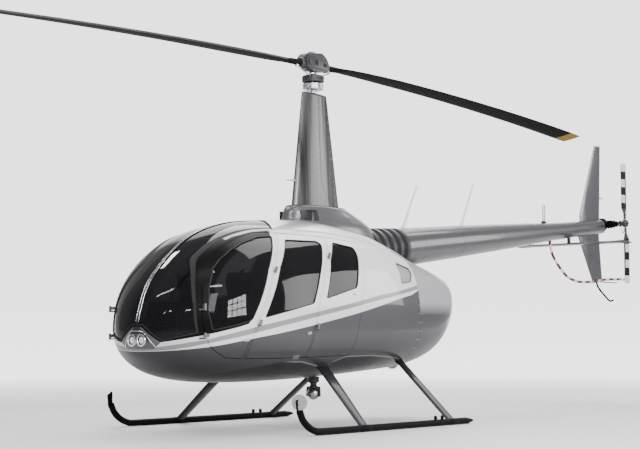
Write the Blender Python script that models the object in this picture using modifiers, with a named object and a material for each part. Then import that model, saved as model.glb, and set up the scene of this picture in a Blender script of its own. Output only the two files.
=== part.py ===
# A light five-seat turbine helicopter on skids, built as separate pieces.
# Metres. +X is the port side, +Y runs aft, +Z is up, and the ground is z = 0.
# Places are given from the main rotor's axis; the last step moves the whole
# machine so that the middle of its box is at the origin.

import math

import bmesh
import bpy
from mathutils import Matrix, Vector

# Fit and wall sizes
SEAT_GAP = 0.0003
DOOR_GAP = 0.006
WALL = 0.022
GLASS_OUT = 0.006
GLASS_IN = 0.012
REAR_EDGE_SLANT = 0.42
SILL_SLANT = 0.90
SLANT_DEPTH = 0.12
AROUND = 28
STEPS_PER_SPAN = 2
INNER_AROUND = 20

# Fuselage stations from nose to tail: y, top, bottom, half width,
# height of the widest point as a share, upper and lower squareness
STATIONS = [
    (-2.340, 0.925, 0.845, 0.060, 0.45, 2.00, 2.0),
    (-2.315, 1.040, 0.745, 0.215, 0.45, 2.00, 2.0),
    (-2.220, 1.270, 0.630, 0.405, 0.43, 2.15, 2.1),
    (-2.000, 1.510, 0.500, 0.635, 0.39, 2.35, 2.2),
    (-1.700, 1.720, 0.442, 0.765, 0.36, 2.45, 2.3),
    (-1.300, 1.850, 0.426, 0.780, 0.36, 2.50, 2.5),
    (-0.800, 1.905, 0.432, 0.748, 0.36, 2.55, 2.6),
    (-0.300, 1.925, 0.448, 0.735, 0.36, 2.60, 2.6),
    (0.300, 1.920, 0.480, 0.710, 0.38, 2.60, 2.6),
    (0.800, 1.862, 0.509, 0.652, 0.40, 2.50, 2.4),
    (1.200, 1.750, 0.545, 0.580, 0.44, 2.40, 2.3),
    (1.600, 1.600, 0.640, 0.488, 0.48, 2.30, 2.1),
    (1.880, 1.450, 0.830, 0.345, 0.50, 2.10, 2.0),
    (2.040, 1.260, 1.020, 0.140, 0.50, 2.00, 2.0),
]

# Lines on the side of the fuselage, as (y, z)
FRONT_DOOR_NOSE = [(-1.900, 0.655), (-2.030, 0.740), (-2.095, 0.880), (-2.105, 1.050),
                   (-2.062, 1.250), (-1.975, 1.415), (-1.880, 1.505), (-1.750, 1.588),
                   (-1.590, 1.655), (-1.380, 1.710)]
SCREEN_EDGE = [(-2.060, 0.600), (-2.133, 0.860), (-2.143, 1.060), (-2.100, 1.270),
               (-2.005, 1.445), (-1.900, 1.540), (-1.765, 1.625), (-1.600, 1.695),
               (-1.380, 1.750), (-1.160, 1.775)]
POST_B = [(-1.150, 1.730), (-1.390, 1.430), (-1.660, 0.975), (-1.745, 0.760), (-1.735, 0.645)]
POST_C = [(-0.490, 1.740), (-0.580, 1.580), (-0.690, 1.400), (-0.820, 1.140), (-0.886, 0.930),
          (-0.955, 0.650)]
POST_D = [(-0.020, 1.700), (-0.070, 1.520), (-0.150, 1.250), (-0.236, 0.910), (-0.300, 0.665)]
ROOF_SEAM = [(-1.160, 1.775), (-0.700, 1.790), (-0.300, 1.785), (0.060, 1.755), (0.500, 1.680),
             (0.890, 1.575)]
RAIL = 0.040
POST_WIDTH = 0.018
FRONT_WINDOW = [(-1.235, 1.690), (-1.475, 1.395), (-1.735, 0.960), (-2.020, 0.880), (-2.055, 1.050),
                (-2.010, 1.235), (-1.930, 1.385), (-1.845, 1.465), (-1.725, 1.545), (-1.575, 1.612),
                (-1.390, 1.665)]
REAR_WINDOW = [(-1.085, 1.680), (-1.320, 1.430), (-1.600, 0.985), (-0.900, 1.120), (-0.775, 1.360),
               (-0.600, 1.665), (-0.640, 1.700)]
QUARTER_WINDOW = [(-0.425, 1.700), (-0.565, 1.525), (-0.720, 1.165), (-0.235, 1.280),
                  (-0.175, 1.430), (-0.115, 1.590), (-0.125, 1.665)]
SIDE_REACH = (0.05, 1.00)
WINDOW_CORNER = 0.030

# Lower edge of the windscreen seen from ahead, as (x, z), one side
SCREEN_SILL = [(0.060, 0.925), (0.245, 0.790), (0.530, 0.860), (1.000, 0.990)]
SCREEN_BACK_MID = -0.800
SCREEN_BACK_SLOPE = 0.700
CENTRE_POST = 0.011

# Where the cabin's shell meets the aft cowl
COWL_SEAM_Y = 0.890

# Nose light housing and lamps
HOUSING_OUTLINE = [(-0.235, 0.780), (-0.050, 0.912), (0.050, 0.912), (0.235, 0.780), (0.150, 0.725),
                   (-0.150, 0.725)]
HOUSING_BACK_Y = -2.150
LAMP_RADIUS = 0.042
LAMP_X = 0.056
LAMP_Z = 0.800
LAMP_FACE_Y = -2.340
LAMP_DEPTH = 0.050

# Mast: cowl at its foot and streamlined fairing, as (z, front y, rear y, half width)
MAST_COWL = [(1.760, -0.440, 0.900, 0.300), (1.880, -0.415, 0.830, 0.280),
             (1.960, -0.392, 0.720, 0.250), (2.030, -0.375, 0.560, 0.215),
             (2.070, -0.350, 0.440, 0.197), (2.085, -0.310, 0.390, 0.180)]
FAIRING_FOOT = (2.0853, -0.316, 0.394, 0.125)
FAIRING_HEAD = (3.195, -0.168, 0.200, 0.070)
INLET_BOX = ((-0.290, -0.060), (1.945, 2.045))
INLET_DEPTH = 0.060

# Tail boom along its own axis: distance from its front end and radius
BOOM_START = Vector((0.0, 1.350, 1.758))
BOOM_SLOPE = 0.1107
BOOM_PROFILE = [(0.000, 0.202), (1.060, 0.178), (2.470, 0.137), (3.380, 0.104), (4.470, 0.090)]
LOUVRE_LENGTH = 0.660
LOUVRE_RADIUS = (0.238, 0.204)
LOUVRE_COUNT = 5
LOUVRE_DEPTH = 0.022

# Fins and stabiliser, as (span place, leading edge y, trailing edge y, thickness)
UPPER_FIN = [(2.200, 5.235, 5.790, 0.056), (2.340, 5.300, 5.797, 0.052), (3.284, 5.700, 5.850, 0.022)]
LOWER_FIN = [(2.200, 5.180, 5.780, 0.056), (2.090, 5.240, 5.787, 0.052), (1.556, 5.580, 5.852, 0.026)]
STABILISER_SPAN = 0.725
STABILISER_Y = (4.950, 5.262)
STABILISER_Z = 1.990
STABILISER_THICK = 0.034
BRACKET_Y = (4.985, 5.035)
BRACKET_HALF_WIDTH = 0.055

# Tail rotor
TAIL_ROTOR_Y = 5.870
TAIL_ROTOR_Z = 2.281
TAIL_ROTOR_X = 0.328
TAIL_ROTOR_RADIUS = 0.762
TAIL_ROTOR_CHORD = 0.120
GEARBOX_RADIUS = 0.078
GEARBOX_NOSE = 0.232

# Guard and tail skid, as (x, y, z)
GUARD_PATH = [(0.0, 4.540, 2.012), (0.0, 4.548, 1.930), (0.0, 4.619, 1.813), (0.0, 4.771, 1.687),
              (0.0, 4.970, 1.577), (0.0, 5.227, 1.530), (0.0, 5.471, 1.533), (0.0, 5.687, 1.548),
              (0.0, 5.900, 1.576), (0.0, 6.200, 1.592), (0.0, 6.480, 1.600)]
GUARD_RADIUS = 0.014
TAIL_SKID_PATH = [(0.0, 5.690, 1.548), (0.0, 5.735, 1.480), (0.0, 5.816, 1.425), (0.0, 5.990, 1.330),
                  (0.0, 6.060, 1.304), (0.0, 6.140, 1.318)]
TAIL_SKID_RADIUS = 0.012

# Main rotor
ROTOR_RADIUS = 5.030
HUB_Z = 3.480
BLADE_CHORD = 0.262
BLADE_THICK = 0.030
BLADE_ROOT = 0.2053
BLADE_DROOP = 0.0077
BLADE_CONE = -0.0040
TEETER = 0.0055
HUB_OUTLINE = [(-0.205, 3.452), (-0.205, 3.520), (-0.150, 3.580), (0.090, 3.612), (0.165, 3.570),
               (0.205, 3.500), (0.205, 3.440), (0.060, 3.415), (-0.060, 3.415)]
HUB_HALF_WIDTH = 0.062
SHAFT_RADIUS = 0.030
STATIC_RING = (3.232, 3.300, 0.100)
TURNING_RING = (3.306, 3.372, 0.108)
RING_BORE = 0.036

# Landing gear
TREAD = 1.133
SKID_RADIUS = 0.030
SKID_PATH = [(1.037, 0.032), (0.400, 0.032), (-0.400, 0.032), (-1.250, 0.032), (-1.360, 0.040),
             (-1.450, 0.075), (-1.525, 0.135), (-1.572, 0.215)]
LEGS = {"front": (-0.676, 1.06, 0.194, 0.640), "rear": (0.687, 1.20, 0.157, 0.660)}
LEG_CHORD = 0.105
LEG_THICK = 0.046
TOE_PLATE = [(-1.555, 0.150), (-1.600, 0.185), (-1.615, 0.300), (-1.565, 0.325)]
SHOE_Y = (-1.180, 0.960)
SHOE_HALF_WIDTH = 0.016
SHOE_TOP = 0.012

# Cabin fittings, boxes as (low, high) in x, y and z
FLOOR_Z = 0.600
FLOOR_BOX = ((-0.75, -2.080, 0.585), (0.75, -0.0003, FLOOR_Z))
BULKHEAD_Y = (0.000, 0.030)
SEAT_HALF_WIDTH = 0.245
SEAT_X = 0.315
SEAT_SIDE = [(-1.790, 0.830), (-1.780, 0.905), (-1.380, 0.905), (-1.255, 1.400), (-1.180, 1.400),
             (-1.290, 0.830)]
BASE_SIDE = [(-1.760, 0.590), (-1.790, 0.8297), (-1.290, 0.8297), (-1.290, 0.590)]
REAR_SEAT_SHIFT = 0.700
REAR_SEAT_HALF_WIDTH = 0.600
CONSOLE_SIDE = [(-2.060, 0.6003), (-2.060, 0.860), (-2.085, 1.060), (-2.050, 1.130), (-1.900, 1.130),
                (-1.880, 0.900), (-1.880, 0.6003)]
CONSOLE_HALF_WIDTH = 0.150
ENGINE_BOX = ((-0.240, 0.0303, 0.800), (0.240, 1.150, 1.300))
GEARCASE_BOX = ((-0.150, 0.0303, 1.250), (0.150, 0.320, 1.800))

# Door hinges, port side, the lower one first: its centre, then how far inwards and
# aft of it the arm on the shell and the arm on the door end
HINGES = {
    "front_door": (((0.572, -2.112, 0.840), (0.083, -0.006), (0.000, 0.065)),
                   ((0.572, -2.112, 1.080), (0.083, -0.006), (0.032, 0.045))),
    "rear_door": (((0.794, -1.662, 0.950), (0.040, -0.003), (0.040, 0.024)),
                  ((0.738, -1.402, 1.409), (0.040, -0.003), (0.040, 0.024))),
    "baggage_door": (((0.773, -0.872, 0.926), (0.033, -0.008), (0.033, 0.022)),
                     ((0.665, -0.580, 1.569), (0.033, -0.012), (0.033, 0.024))),
}
PIN_RADIUS = 0.0050
BARREL_RADIUS = 0.0110
BARREL_LENGTH = 0.040
KNUCKLE_LENGTH = 0.014
ARM_WIDTH = 0.010
ARM_START = 0.008

# Colours as seen in the photograph
COLOURS = {
    "grey_paint": ((0.115, 0.115, 0.125), 0.30, 0.6),
    "silver_paint": ((0.42, 0.42, 0.44), 0.30, 0.5),
    "white_paint": ((0.78, 0.78, 0.79), 0.30, 0.0),
    "black_blade": ((0.020, 0.020, 0.022), 0.45, 0.0),
    "bare_metal": ((0.55, 0.55, 0.57), 0.30, 1.0),
    "dark_metal": ((0.06, 0.06, 0.065), 0.45, 0.7),
    "glass": ((0.06, 0.065, 0.07), 0.05, 0.0),
    "striped_tube": ((0.75, 0.30, 0.32), 0.40, 0.0),
    "seat_leather": ((0.10, 0.10, 0.11), 0.60, 0.0),
    "cabin_trim": ((0.16, 0.16, 0.17), 0.70, 0.0),
    "lamp_glass": ((0.85, 0.87, 0.90), 0.10, 0.0),
}


# Scene set-up
for old in list(bpy.data.objects):
    bpy.data.objects.remove(old, do_unlink=True)

parts = bpy.data.collections.new("Helicopter")
cutters = bpy.data.collections.new("Cutters")
bpy.context.scene.collection.children.link(parts)
bpy.context.scene.collection.children.link(cutters)


def make_material(name):
    colour, roughness, metallic = COLOURS[name]
    material = bpy.data.materials.new(name)
    material.use_nodes = True
    shader = material.node_tree.nodes["Principled BSDF"]
    shader.inputs["Base Color"].default_value = (*colour, 1.0)
    shader.inputs["Roughness"].default_value = roughness
    shader.inputs["Metallic"].default_value = metallic
    return material


materials = {name: make_material(name) for name in COLOURS}


def place(name, mesh, finish=None):
    """Put a mesh in the scene, as a part if it has a finish and as a cutter if not."""
    thing = bpy.data.objects.new(name, mesh)
    if finish:
        parts.objects.link(thing)
        mesh.materials.append(materials[finish])
    else:
        cutters.objects.link(thing)
        thing.hide_render = True
        thing.display_type = "WIRE"
    return thing


def smooth(mesh, angle=35.0):
    mesh.shade_smooth()
    mesh.set_sharp_from_angle(angle=math.radians(angle))


def boolean(target, tool, operation="DIFFERENCE"):
    modifier = target.modifiers.new(operation.lower(), "BOOLEAN")
    modifier.operation = operation
    modifier.object = tool


# Lofts
def loft_mesh(name, rings):
    """Skin a row of closed rings with mirrored triangles and cap both ends."""
    mesh = bpy.data.meshes.new(name)
    shape = bmesh.new()
    rows = [[shape.verts.new(point) for point in ring] for ring in rings]
    count = len(rows[0])
    for lower, upper in zip(rows, rows[1:]):
        for i in range(count):
            j = (i + 1) % count
            if count <= 4 * i < 3 * count:
                shape.faces.new((lower[i], lower[j], upper[i]))
                shape.faces.new((lower[j], upper[j], upper[i]))
            else:
                shape.faces.new((lower[i], lower[j], upper[j]))
                shape.faces.new((lower[i], upper[j], upper[i]))
    shape.faces.new(rows[0])
    shape.faces.new(rows[-1])
    bmesh.ops.recalc_face_normals(shape, faces=shape.faces)
    shape.to_mesh(mesh)
    shape.free()
    smooth(mesh)
    return mesh


def curve_through(rows, steps):
    """Catmull-Rom points through rows of numbers, with steps points to each span."""
    points = []
    last = len(rows) - 1
    for i in range(last):
        here, there = Vector(rows[i]), Vector(rows[i + 1])
        before = Vector(rows[i - 1]) if i > 0 else 2 * here - there
        after = Vector(rows[i + 2]) if i + 2 <= last else 2 * there - here
        for step in range(steps):
            t = step / steps
            points.append(0.5 * (2 * here + (there - before) * t
                                 + (2 * before - 5 * here + 4 * there - after) * t ** 2
                                 + (3 * here - before - 3 * there + after) * t ** 3))
    points.append(Vector(rows[last]))
    return points


def power(value, exponent):
    return math.copysign(abs(value) ** exponent, value)


def skin_x(y, z):
    """Half width of the outer skin at one place on the side."""
    rows = curve_through(STATIONS, STEPS_PER_SPAN)
    for low, high in zip(rows, rows[1:]):
        if low[0] <= y <= high[0]:
            share = (y - low[0]) / (high[0] - low[0])
            row = [a + (b - a) * share for a, b in zip(low, high)]
    station, top, bottom, width, waist_share, upper, lower = row
    waist = bottom + (top - bottom) * waist_share
    squareness, reach = (upper, top - waist) if z >= waist else (lower, bottom - waist)
    return width * (1 - min(1.0, (z - waist) / reach) ** squareness) ** (1 / squareness)


def fuselage(name, inset, finish=None, around=AROUND, steps=STEPS_PER_SPAN):
    """The whole fuselage as a solid whose skin lies inset metres inside the outer skin."""
    rows = curve_through(STATIONS, steps)
    middle = (STATIONS[0][0] + STATIONS[-1][0]) / 2
    half = (STATIONS[-1][0] - STATIONS[0][0]) / 2
    shrink = (half - inset) / half
    rings = []
    for y, top, bottom, width, share, upper, lower in rows:
        waist = bottom + (top - bottom) * share
        spare = min(inset, 0.8 * width, 0.4 * (top - bottom))
        ring = []
        for i in range(around):
            turn = math.tau * i / around
            squareness = upper if math.sin(turn) >= 0 else lower
            reach = (top - waist if math.sin(turn) >= 0 else waist - bottom) - spare
            ring.append((power(math.cos(turn), 2 / squareness) * (width - spare),
                         middle + (y - middle) * shrink,
                         waist + power(math.sin(turn), 2 / squareness) * reach))
        rings.append(ring)
    return place(name, loft_mesh(name, rings), finish)


# Flat plates and prisms
AXES = {"X": Matrix(((0, 0, 1), (1, 0, 0), (0, 1, 0))),
        "Y": Matrix(((1, 0, 0), (0, 0, -1), (0, 1, 0))),
        "Z": Matrix.Identity(3)}


def round_corners(outline, radius, steps=4):
    """Replace each sharp corner of a closed outline by a short curve."""
    rounded = []
    count = len(outline)
    for i in range(count):
        corner = Vector(outline[i])
        before = Vector(outline[i - 1]) - corner
        after = Vector(outline[(i + 1) % count]) - corner
        if before.angle(after) > math.radians(160):
            rounded.append(corner)
            continue
        start = corner + before.normalized() * min(radius, before.length * 0.45)
        end = corner + after.normalized() * min(radius, after.length * 0.45)
        for step in range(steps + 1):
            t = step / steps
            rounded.append(start * (1 - t) ** 2 + corner * 2 * t * (1 - t) + end * t ** 2)
    return [tuple(point) for point in rounded]


def grow(outline, amount):
    """Move every side of a closed outline out by amount; a negative amount moves it in."""
    points = [Vector(point) for point in outline]
    count = len(points)
    area = sum(points[i - 1].x * points[i].y - points[i].x * points[i - 1].y for i in range(count))
    turn = 1.0 if area > 0 else -1.0
    moved = []
    for i in range(count):
        before = (points[i] - points[i - 1]).normalized()
        after = (points[(i + 1) % count] - points[i]).normalized()
        normal = Vector((before.y + after.y, -before.x - after.x)) * turn
        normal.normalize()
        across = max(0.5, normal.dot(Vector((after.y, -after.x)) * turn))
        moved.append(tuple(points[i] + normal * amount / across))
    return moved


def plate(name, outline, axis, low, high, finish=None):
    """A flat outline made thick from low to high along an axis."""
    data = bpy.data.curves.new(name, "CURVE")
    data.dimensions = "2D"
    data.fill_mode = "BOTH"
    data.extrude = abs(high - low) / 2
    spline = data.splines.new("POLY")
    spline.points.add(len(outline) - 1)
    for point, (across, along) in zip(spline.points, outline):
        point.co = (across, along, 0.0, 1.0)
    spline.use_cyclic_u = True
    guide = bpy.data.objects.new(name + "_outline", data)
    parts.objects.link(guide)
    turned = AXES[axis].to_4x4()
    centre = (low + high) / 2 * (-1 if axis == "Y" else 1)
    mesh = mesh_of(guide)
    mesh.transform(turned @ Matrix.Translation((0, 0, centre)))
    mesh.name = name
    return place(name, mesh, finish)


def mesh_of(guide):
    """A welded mesh of a curve object, which is then removed."""
    bpy.context.view_layer.update()
    evaluated = guide.evaluated_get(bpy.context.evaluated_depsgraph_get())
    mesh = bpy.data.meshes.new_from_object(evaluated)
    shape = bmesh.new()
    shape.from_mesh(mesh)
    bmesh.ops.remove_doubles(shape, verts=shape.verts, dist=0.00001)
    bmesh.ops.recalc_face_normals(shape, faces=shape.faces)
    shape.to_mesh(mesh)
    shape.free()
    data = guide.data
    bpy.data.objects.remove(guide, do_unlink=True)
    bpy.data.curves.remove(data)
    return mesh


def box(name, low, high, finish=None):
    mesh = bpy.data.meshes.new(name)
    shape = bmesh.new()
    size = [high[i] - low[i] for i in range(3)]
    middle = [(high[i] + low[i]) / 2 for i in range(3)]
    place_and_size = Matrix.Translation(middle) @ Matrix.Diagonal((*size, 1.0))
    bmesh.ops.create_cube(shape, size=1.0, matrix=place_and_size)
    shape.to_mesh(mesh)
    shape.free()
    return place(name, mesh, finish)


def tube(name, path, radius, finish=None, resolution=2, steps=1):
    """A round bar along a path of points."""
    data = bpy.data.curves.new(name, "CURVE")
    data.dimensions = "3D"
    data.bevel_depth = radius
    data.bevel_resolution = resolution
    data.use_fill_caps = True
    points = curve_through(path, steps) if steps > 1 else [Vector(point) for point in path]
    spline = data.splines.new("POLY")
    spline.points.add(len(points) - 1)
    for point, spot in zip(spline.points, points):
        point.co = (*spot, 1.0)
    guide = bpy.data.objects.new(name + "_path", data)
    parts.objects.link(guide)
    mesh = mesh_of(guide)
    mesh.name = name
    smooth(mesh)
    return place(name, mesh, finish)


def turned(name, profile, steps, finish=None, closed=False):
    """Turn a profile of (radius, height) about local Z."""
    mesh = bpy.data.meshes.new(name)
    shape = bmesh.new()
    verts = [shape.verts.new((radius, 0.0, height)) for radius, height in profile]
    for first, second in zip(verts, verts[1:]):
        shape.edges.new((first, second))
    if closed:
        shape.edges.new((verts[-1], verts[0]))
    shape.to_mesh(mesh)
    shape.free()
    thing = place(name, mesh, finish)
    screw = thing.modifiers.new("turn", "SCREW")
    screw.steps = steps
    screw.render_steps = steps
    screw.use_merge_vertices = True
    screw.merge_threshold = 0.00001
    screw.use_smooth_shade = True
    return thing


def rounded_bar(name, sections, finish=None, count=16, squareness=2.0):
    """Loft of upright rings given as (z, front y, rear y, half width)."""
    rings = []
    for z, front, rear, width in sections:
        middle, half = (front + rear) / 2, (rear - front) / 2
        rings.append([(power(math.cos(math.tau * i / count), 2 / squareness) * width,
                       middle + power(math.sin(math.tau * i / count), 2 / squareness) * half, z)
                      for i in range(count)])
    return place(name, loft_mesh(name, rings), finish)


def aerofoil(front, rear, thick, count=14):
    """A streamlined outline as (along, across), round in front and fine behind."""
    points = []
    for i in range(count):
        turn = math.tau * i / count
        share = (1 - math.cos(turn)) / 2
        half = thick * (1.36 * math.sqrt(share) - 0.52 * share - 0.80 * share ** 2) * 0.92
        side = 1.0 if turn <= math.pi else -1.0
        if i in (0, count // 2):
            half = 0.0 if i == 0 else thick * 0.02
        points.append((front + (rear - front) * share, side * max(half, 0.0)))
    return points


# Fuselage solids that cut the others
skin = fuselage("skin_solid", 0.0)
skin_clear = fuselage("skin_clear", -SEAT_GAP)
hollow = fuselage("hollow_solid", WALL, None, INNER_AROUND, 1)
lining = fuselage("lining_solid", WALL + SEAT_GAP, None, INNER_AROUND, 1)
glass_out = fuselage("glass_out_solid", GLASS_OUT)
glass_in = fuselage("glass_in_solid", GLASS_IN)


def shifted(line, amount):
    return [(y + amount, z) for y, z in line]


def side_plate(name, outline, side, finish=None):
    low, high = SIDE_REACH
    if side > 0:
        return plate(name, outline, "X", low, high, finish)
    return plate(name, outline, "X", -high, -low, finish)


def slanted_plate(name, outline, rear_edge, sill, side, finish):
    """A door's block, whose rear edge and sill slant inside the skin so that it swings clear."""
    rings = [[], [], []]
    for point in outline:
        skin_at = skin_x(*point)
        forward = SLANT_DEPTH * REAR_EDGE_SLANT if point in rear_edge else 0.0
        raised = SLANT_DEPTH * SILL_SLANT if point in sill else 0.0
        rings[0].append((side * (skin_at - SLANT_DEPTH), point[0] - forward, point[1] + raised))
        rings[1].append((side * skin_at, *point))
        rings[2].append((side * SIDE_REACH[1], *point))
    return place(name, loft_mesh(name, rings), finish)


HALF_POST = POST_WIDTH / 2 + DOOR_GAP
FRONT_DOOR_REAR = [(POST_B[0][0] - HALF_POST, 1.728)] + shifted(POST_B[1:], -HALF_POST)
REAR_DOOR_REAR = shifted(POST_C[::-1], -HALF_POST)[:-1] + [(POST_C[0][0] - HALF_POST, 1.742)]
BAGGAGE_DOOR_REAR = POST_D[::-1][:-1] + [(-0.010, 1.712)]
FRONT_DOOR = FRONT_DOOR_NOSE + FRONT_DOOR_REAR
REAR_DOOR_FRONT = [(POST_B[0][0] + HALF_POST + 0.004, 1.735)] + shifted(POST_B[1:], HALF_POST)
BAGGAGE_DOOR_FRONT = [(POST_C[0][0] + HALF_POST, 1.742)] + shifted(POST_C[1:], HALF_POST)
REAR_DOOR = REAR_DOOR_FRONT + REAR_DOOR_REAR
BAGGAGE_DOOR = BAGGAGE_DOOR_FRONT + BAGGAGE_DOOR_REAR

# Each door's outline, its slanted rear edge and sill points, and its window
DOORS = {
    "front_door": (FRONT_DOOR, FRONT_DOOR_REAR[:2], [], FRONT_WINDOW),
    "rear_door": (REAR_DOOR, REAR_DOOR_REAR, [REAR_DOOR_FRONT[-1], REAR_DOOR_REAR[0]], REAR_WINDOW),
    "baggage_door": (BAGGAGE_DOOR, BAGGAGE_DOOR_REAR, [BAGGAGE_DOOR_FRONT[-1], BAGGAGE_DOOR_REAR[0]],
                     QUARTER_WINDOW),
}
SIDES = {"port": 1, "starboard": -1}


def window_pane(name, outline, side):
    """A curved pane that fills a window's opening."""
    inner = grow(round_corners(outline, WINDOW_CORNER), -SEAT_GAP)
    pane = side_plate(name, inner, side, "glass")
    boolean(pane, glass_out, "INTERSECT")
    boolean(pane, glass_in)
    return pane


door_spaces = []
for door_name, (outline, rear_edge, sill, window) in DOORS.items():
    for side_name, side in SIDES.items():
        if door_name == "baggage_door" and side < 0:
            continue
        door = slanted_plate(f"{door_name}_{side_name}", outline, rear_edge, sill, side, "white_paint")
        opening = side_plate(f"{door_name}_{side_name}_window", round_corners(window, WINDOW_CORNER), side)
        boolean(door, skin, "INTERSECT")
        boolean(door, hollow)
        boolean(door, opening)
        window_pane(f"{door_name}_glass_{side_name}", window, side)
        space = side_plate(f"{door_name}_{side_name}_space", grow(outline, DOOR_GAP), side)
        door_spaces.append(space)

# Fixed quarter window on the starboard side
fixed_window = side_plate("quarter_window_space", round_corners(QUARTER_WINDOW, WINDOW_CORNER), -1)
window_pane("quarter_glass_starboard", QUARTER_WINDOW, -1)


# Windscreen, its centre post and the space they fill
def screen_space(name, inset, finish=None):
    """The prism that the windscreen fills, drawn in by inset on every side."""
    outline = [(-2.7, 0.600), (-2.7, 2.3), (SCREEN_BACK_MID + 0.3, 2.3), (SCREEN_BACK_MID + 0.3, 1.775)]
    space = plate(name, grow(outline + SCREEN_EDGE[::-1], -inset), "X", -1.0, 1.0, finish)
    sill = [(-x, z) for x, z in SCREEN_SILL[::-1]] + SCREEN_SILL
    ahead = plate(name + "_ahead", grow([(-1.1, 2.3)] + sill + [(1.1, 2.3)], -inset), "Y", -3.0, 0.5)
    slope = SCREEN_BACK_MID - SCREEN_BACK_SLOPE
    above = plate(name + "_above",
                  grow([(-1.0, -3.0), (1.0, -3.0), (1.0, slope), (0.0, SCREEN_BACK_MID), (-1.0, slope)],
                       -inset), "Z", 0.3, 2.5)
    boolean(space, ahead, "INTERSECT")
    boolean(space, above, "INTERSECT")
    return space


screen_cut = screen_space("screen_cut", 0.0)
for side_name, side in SIDES.items():
    pane = screen_space(f"windscreen_{side_name}", SEAT_GAP, "glass")
    low, high = sorted((side * (CENTRE_POST + SEAT_GAP), side * 1.0))
    half_space = box(f"screen_half_{side_name}", (low, -3.0, 0.3), (high, 0.5, 2.5))
    boolean(pane, half_space, "INTERSECT")
    boolean(pane, glass_out, "INTERSECT")
    boolean(pane, glass_in)

post = screen_space("windscreen_post", SEAT_GAP, "silver_paint")
post_slab = box("post_slab", (-CENTRE_POST, -3.0, 0.3), (CENTRE_POST, 0.5, 2.5))
boolean(post, post_slab, "INTERSECT")
boolean(post, skin, "INTERSECT")
post_inner = fuselage("post_inner_solid", 0.022)
boolean(post, post_inner)

# Roof panel over the cabin, between the windscreen and the aft cowl
roof_outline = ROOF_SEAM + [(ROOF_SEAM[-1][0], 2.3), (-1.6, 2.3), (-1.6, 1.775)]
roof = plate("roof_panel", grow(roof_outline, -SEAT_GAP / 2), "X", -1.0, 1.0, "silver_paint")
boolean(roof, skin, "INTERSECT")
boolean(roof, hollow)
boolean(roof, screen_cut)
roof_space = plate("roof_space", grow(roof_outline, SEAT_GAP / 2), "X", -1.0, 1.0)

# Nose panel that holds the lamps
housing = plate("nose_light_housing", grow(HOUSING_OUTLINE, -SEAT_GAP), "Y", -2.5, HOUSING_BACK_Y,
                "grey_paint")
housing_space = plate("housing_space", HOUSING_OUTLINE, "Y", -2.5, HOUSING_BACK_Y + SEAT_GAP)

# Cabin shell: the tub, posts, rails and side walls
shell = fuselage("cabin_shell", 0.0, "grey_paint")
aft_space = box("aft_space", (-1.0, COWL_SEAM_Y - SEAT_GAP, 0.0), (1.0, 2.5, 2.5))
boolean(shell, hollow)
boolean(shell, aft_space)
boolean(shell, roof_space)
boolean(shell, screen_cut)
boolean(shell, housing_space)
for space in door_spaces:
    boolean(shell, space)
boolean(shell, fixed_window)

# Door hinges: a pin on the shell's arm stands in a barrel on the door's arm
def arm(name, start, end, up, height):
    """A square bar from start to end, its height along up."""
    along = end - start
    across = up.cross(along).normalized()
    bar = box(name, (-along.length / 2, -ARM_WIDTH / 2, -height / 2),
              (along.length / 2, ARM_WIDTH / 2, height / 2))
    turn = Matrix((along.normalized(), across, up)).transposed().to_4x4()
    bar.matrix_world = Matrix.Translation((start + end) / 2) @ turn
    return bar


def hinge_axis(door_name, side):
    """The two hinge centres of a door on one side, the lower one first."""
    return [Vector((side * centre[0], centre[1], centre[2])) for centre, _, _ in HINGES[door_name]]


for door_name, hinge_pair in HINGES.items():
    for side_name, side in SIDES.items():
        if f"{door_name}_{side_name}" not in bpy.data.objects:
            continue
        door = bpy.data.objects[f"{door_name}_{side_name}"]
        low, high = hinge_axis(door_name, side)
        up = (high - low).normalized()
        outward = Vector((side, 0, 0))
        outward = (outward - up * outward.dot(up)).normalized()
        aft = side * up.cross(outward)
        upright = Vector((0, 0, 1)).rotation_difference(up).to_matrix().to_4x4()
        half, below = BARREL_LENGTH / 2, -BARREL_LENGTH / 2 - SEAT_GAP
        bore = PIN_RADIUS + 2 * SEAT_GAP
        for centre, (_, shell_reach, door_reach) in zip((low, high), hinge_pair):
            name = f"{door_name}_{side_name}_{round(centre.z, 2)}"
            pin = turned(f"{name}_pin", [(0.0, half), (PIN_RADIUS, half), (PIN_RADIUS, below),
                                         (BARREL_RADIUS, below), (BARREL_RADIUS, below - KNUCKLE_LENGTH),
                                         (0.0, below - KNUCKLE_LENGTH)], 12)
            barrel = turned(f"{name}_barrel", [(BARREL_RADIUS, half), (BARREL_RADIUS, -half),
                                               (bore, -half), (bore, half)], 12, closed=True)
            for solid in (pin, barrel):
                solid.matrix_world = Matrix.Translation(centre) @ upright
            foot = centre + up * (below - KNUCKLE_LENGTH / 2)
            shell_arm = arm(f"{name}_shell_arm", foot,
                            foot - outward * shell_reach[0] + aft * shell_reach[1], up, KNUCKLE_LENGTH)
            reach = aft * door_reach[1] - outward * door_reach[0]
            door_arm = arm(f"{name}_door_arm", centre + reach.normalized() * ARM_START, centre + reach,
                           up, BARREL_LENGTH * 0.7)
            boolean(shell, pin, "UNION")
            boolean(shell, shell_arm, "UNION")
            boolean(door, barrel, "UNION")
            boolean(door, door_arm, "UNION")

# Tail boom, with the louvred cowl ahead of it, on one sloping axis
boom_turn = Matrix.Rotation(math.atan(BOOM_SLOPE) - math.pi / 2, 4, "X")


def boom_solid(name, profile, finish=None):
    solid = turned(name, profile, 20, finish)
    solid.matrix_world = Matrix.Translation(BOOM_START) @ boom_turn
    return solid


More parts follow.
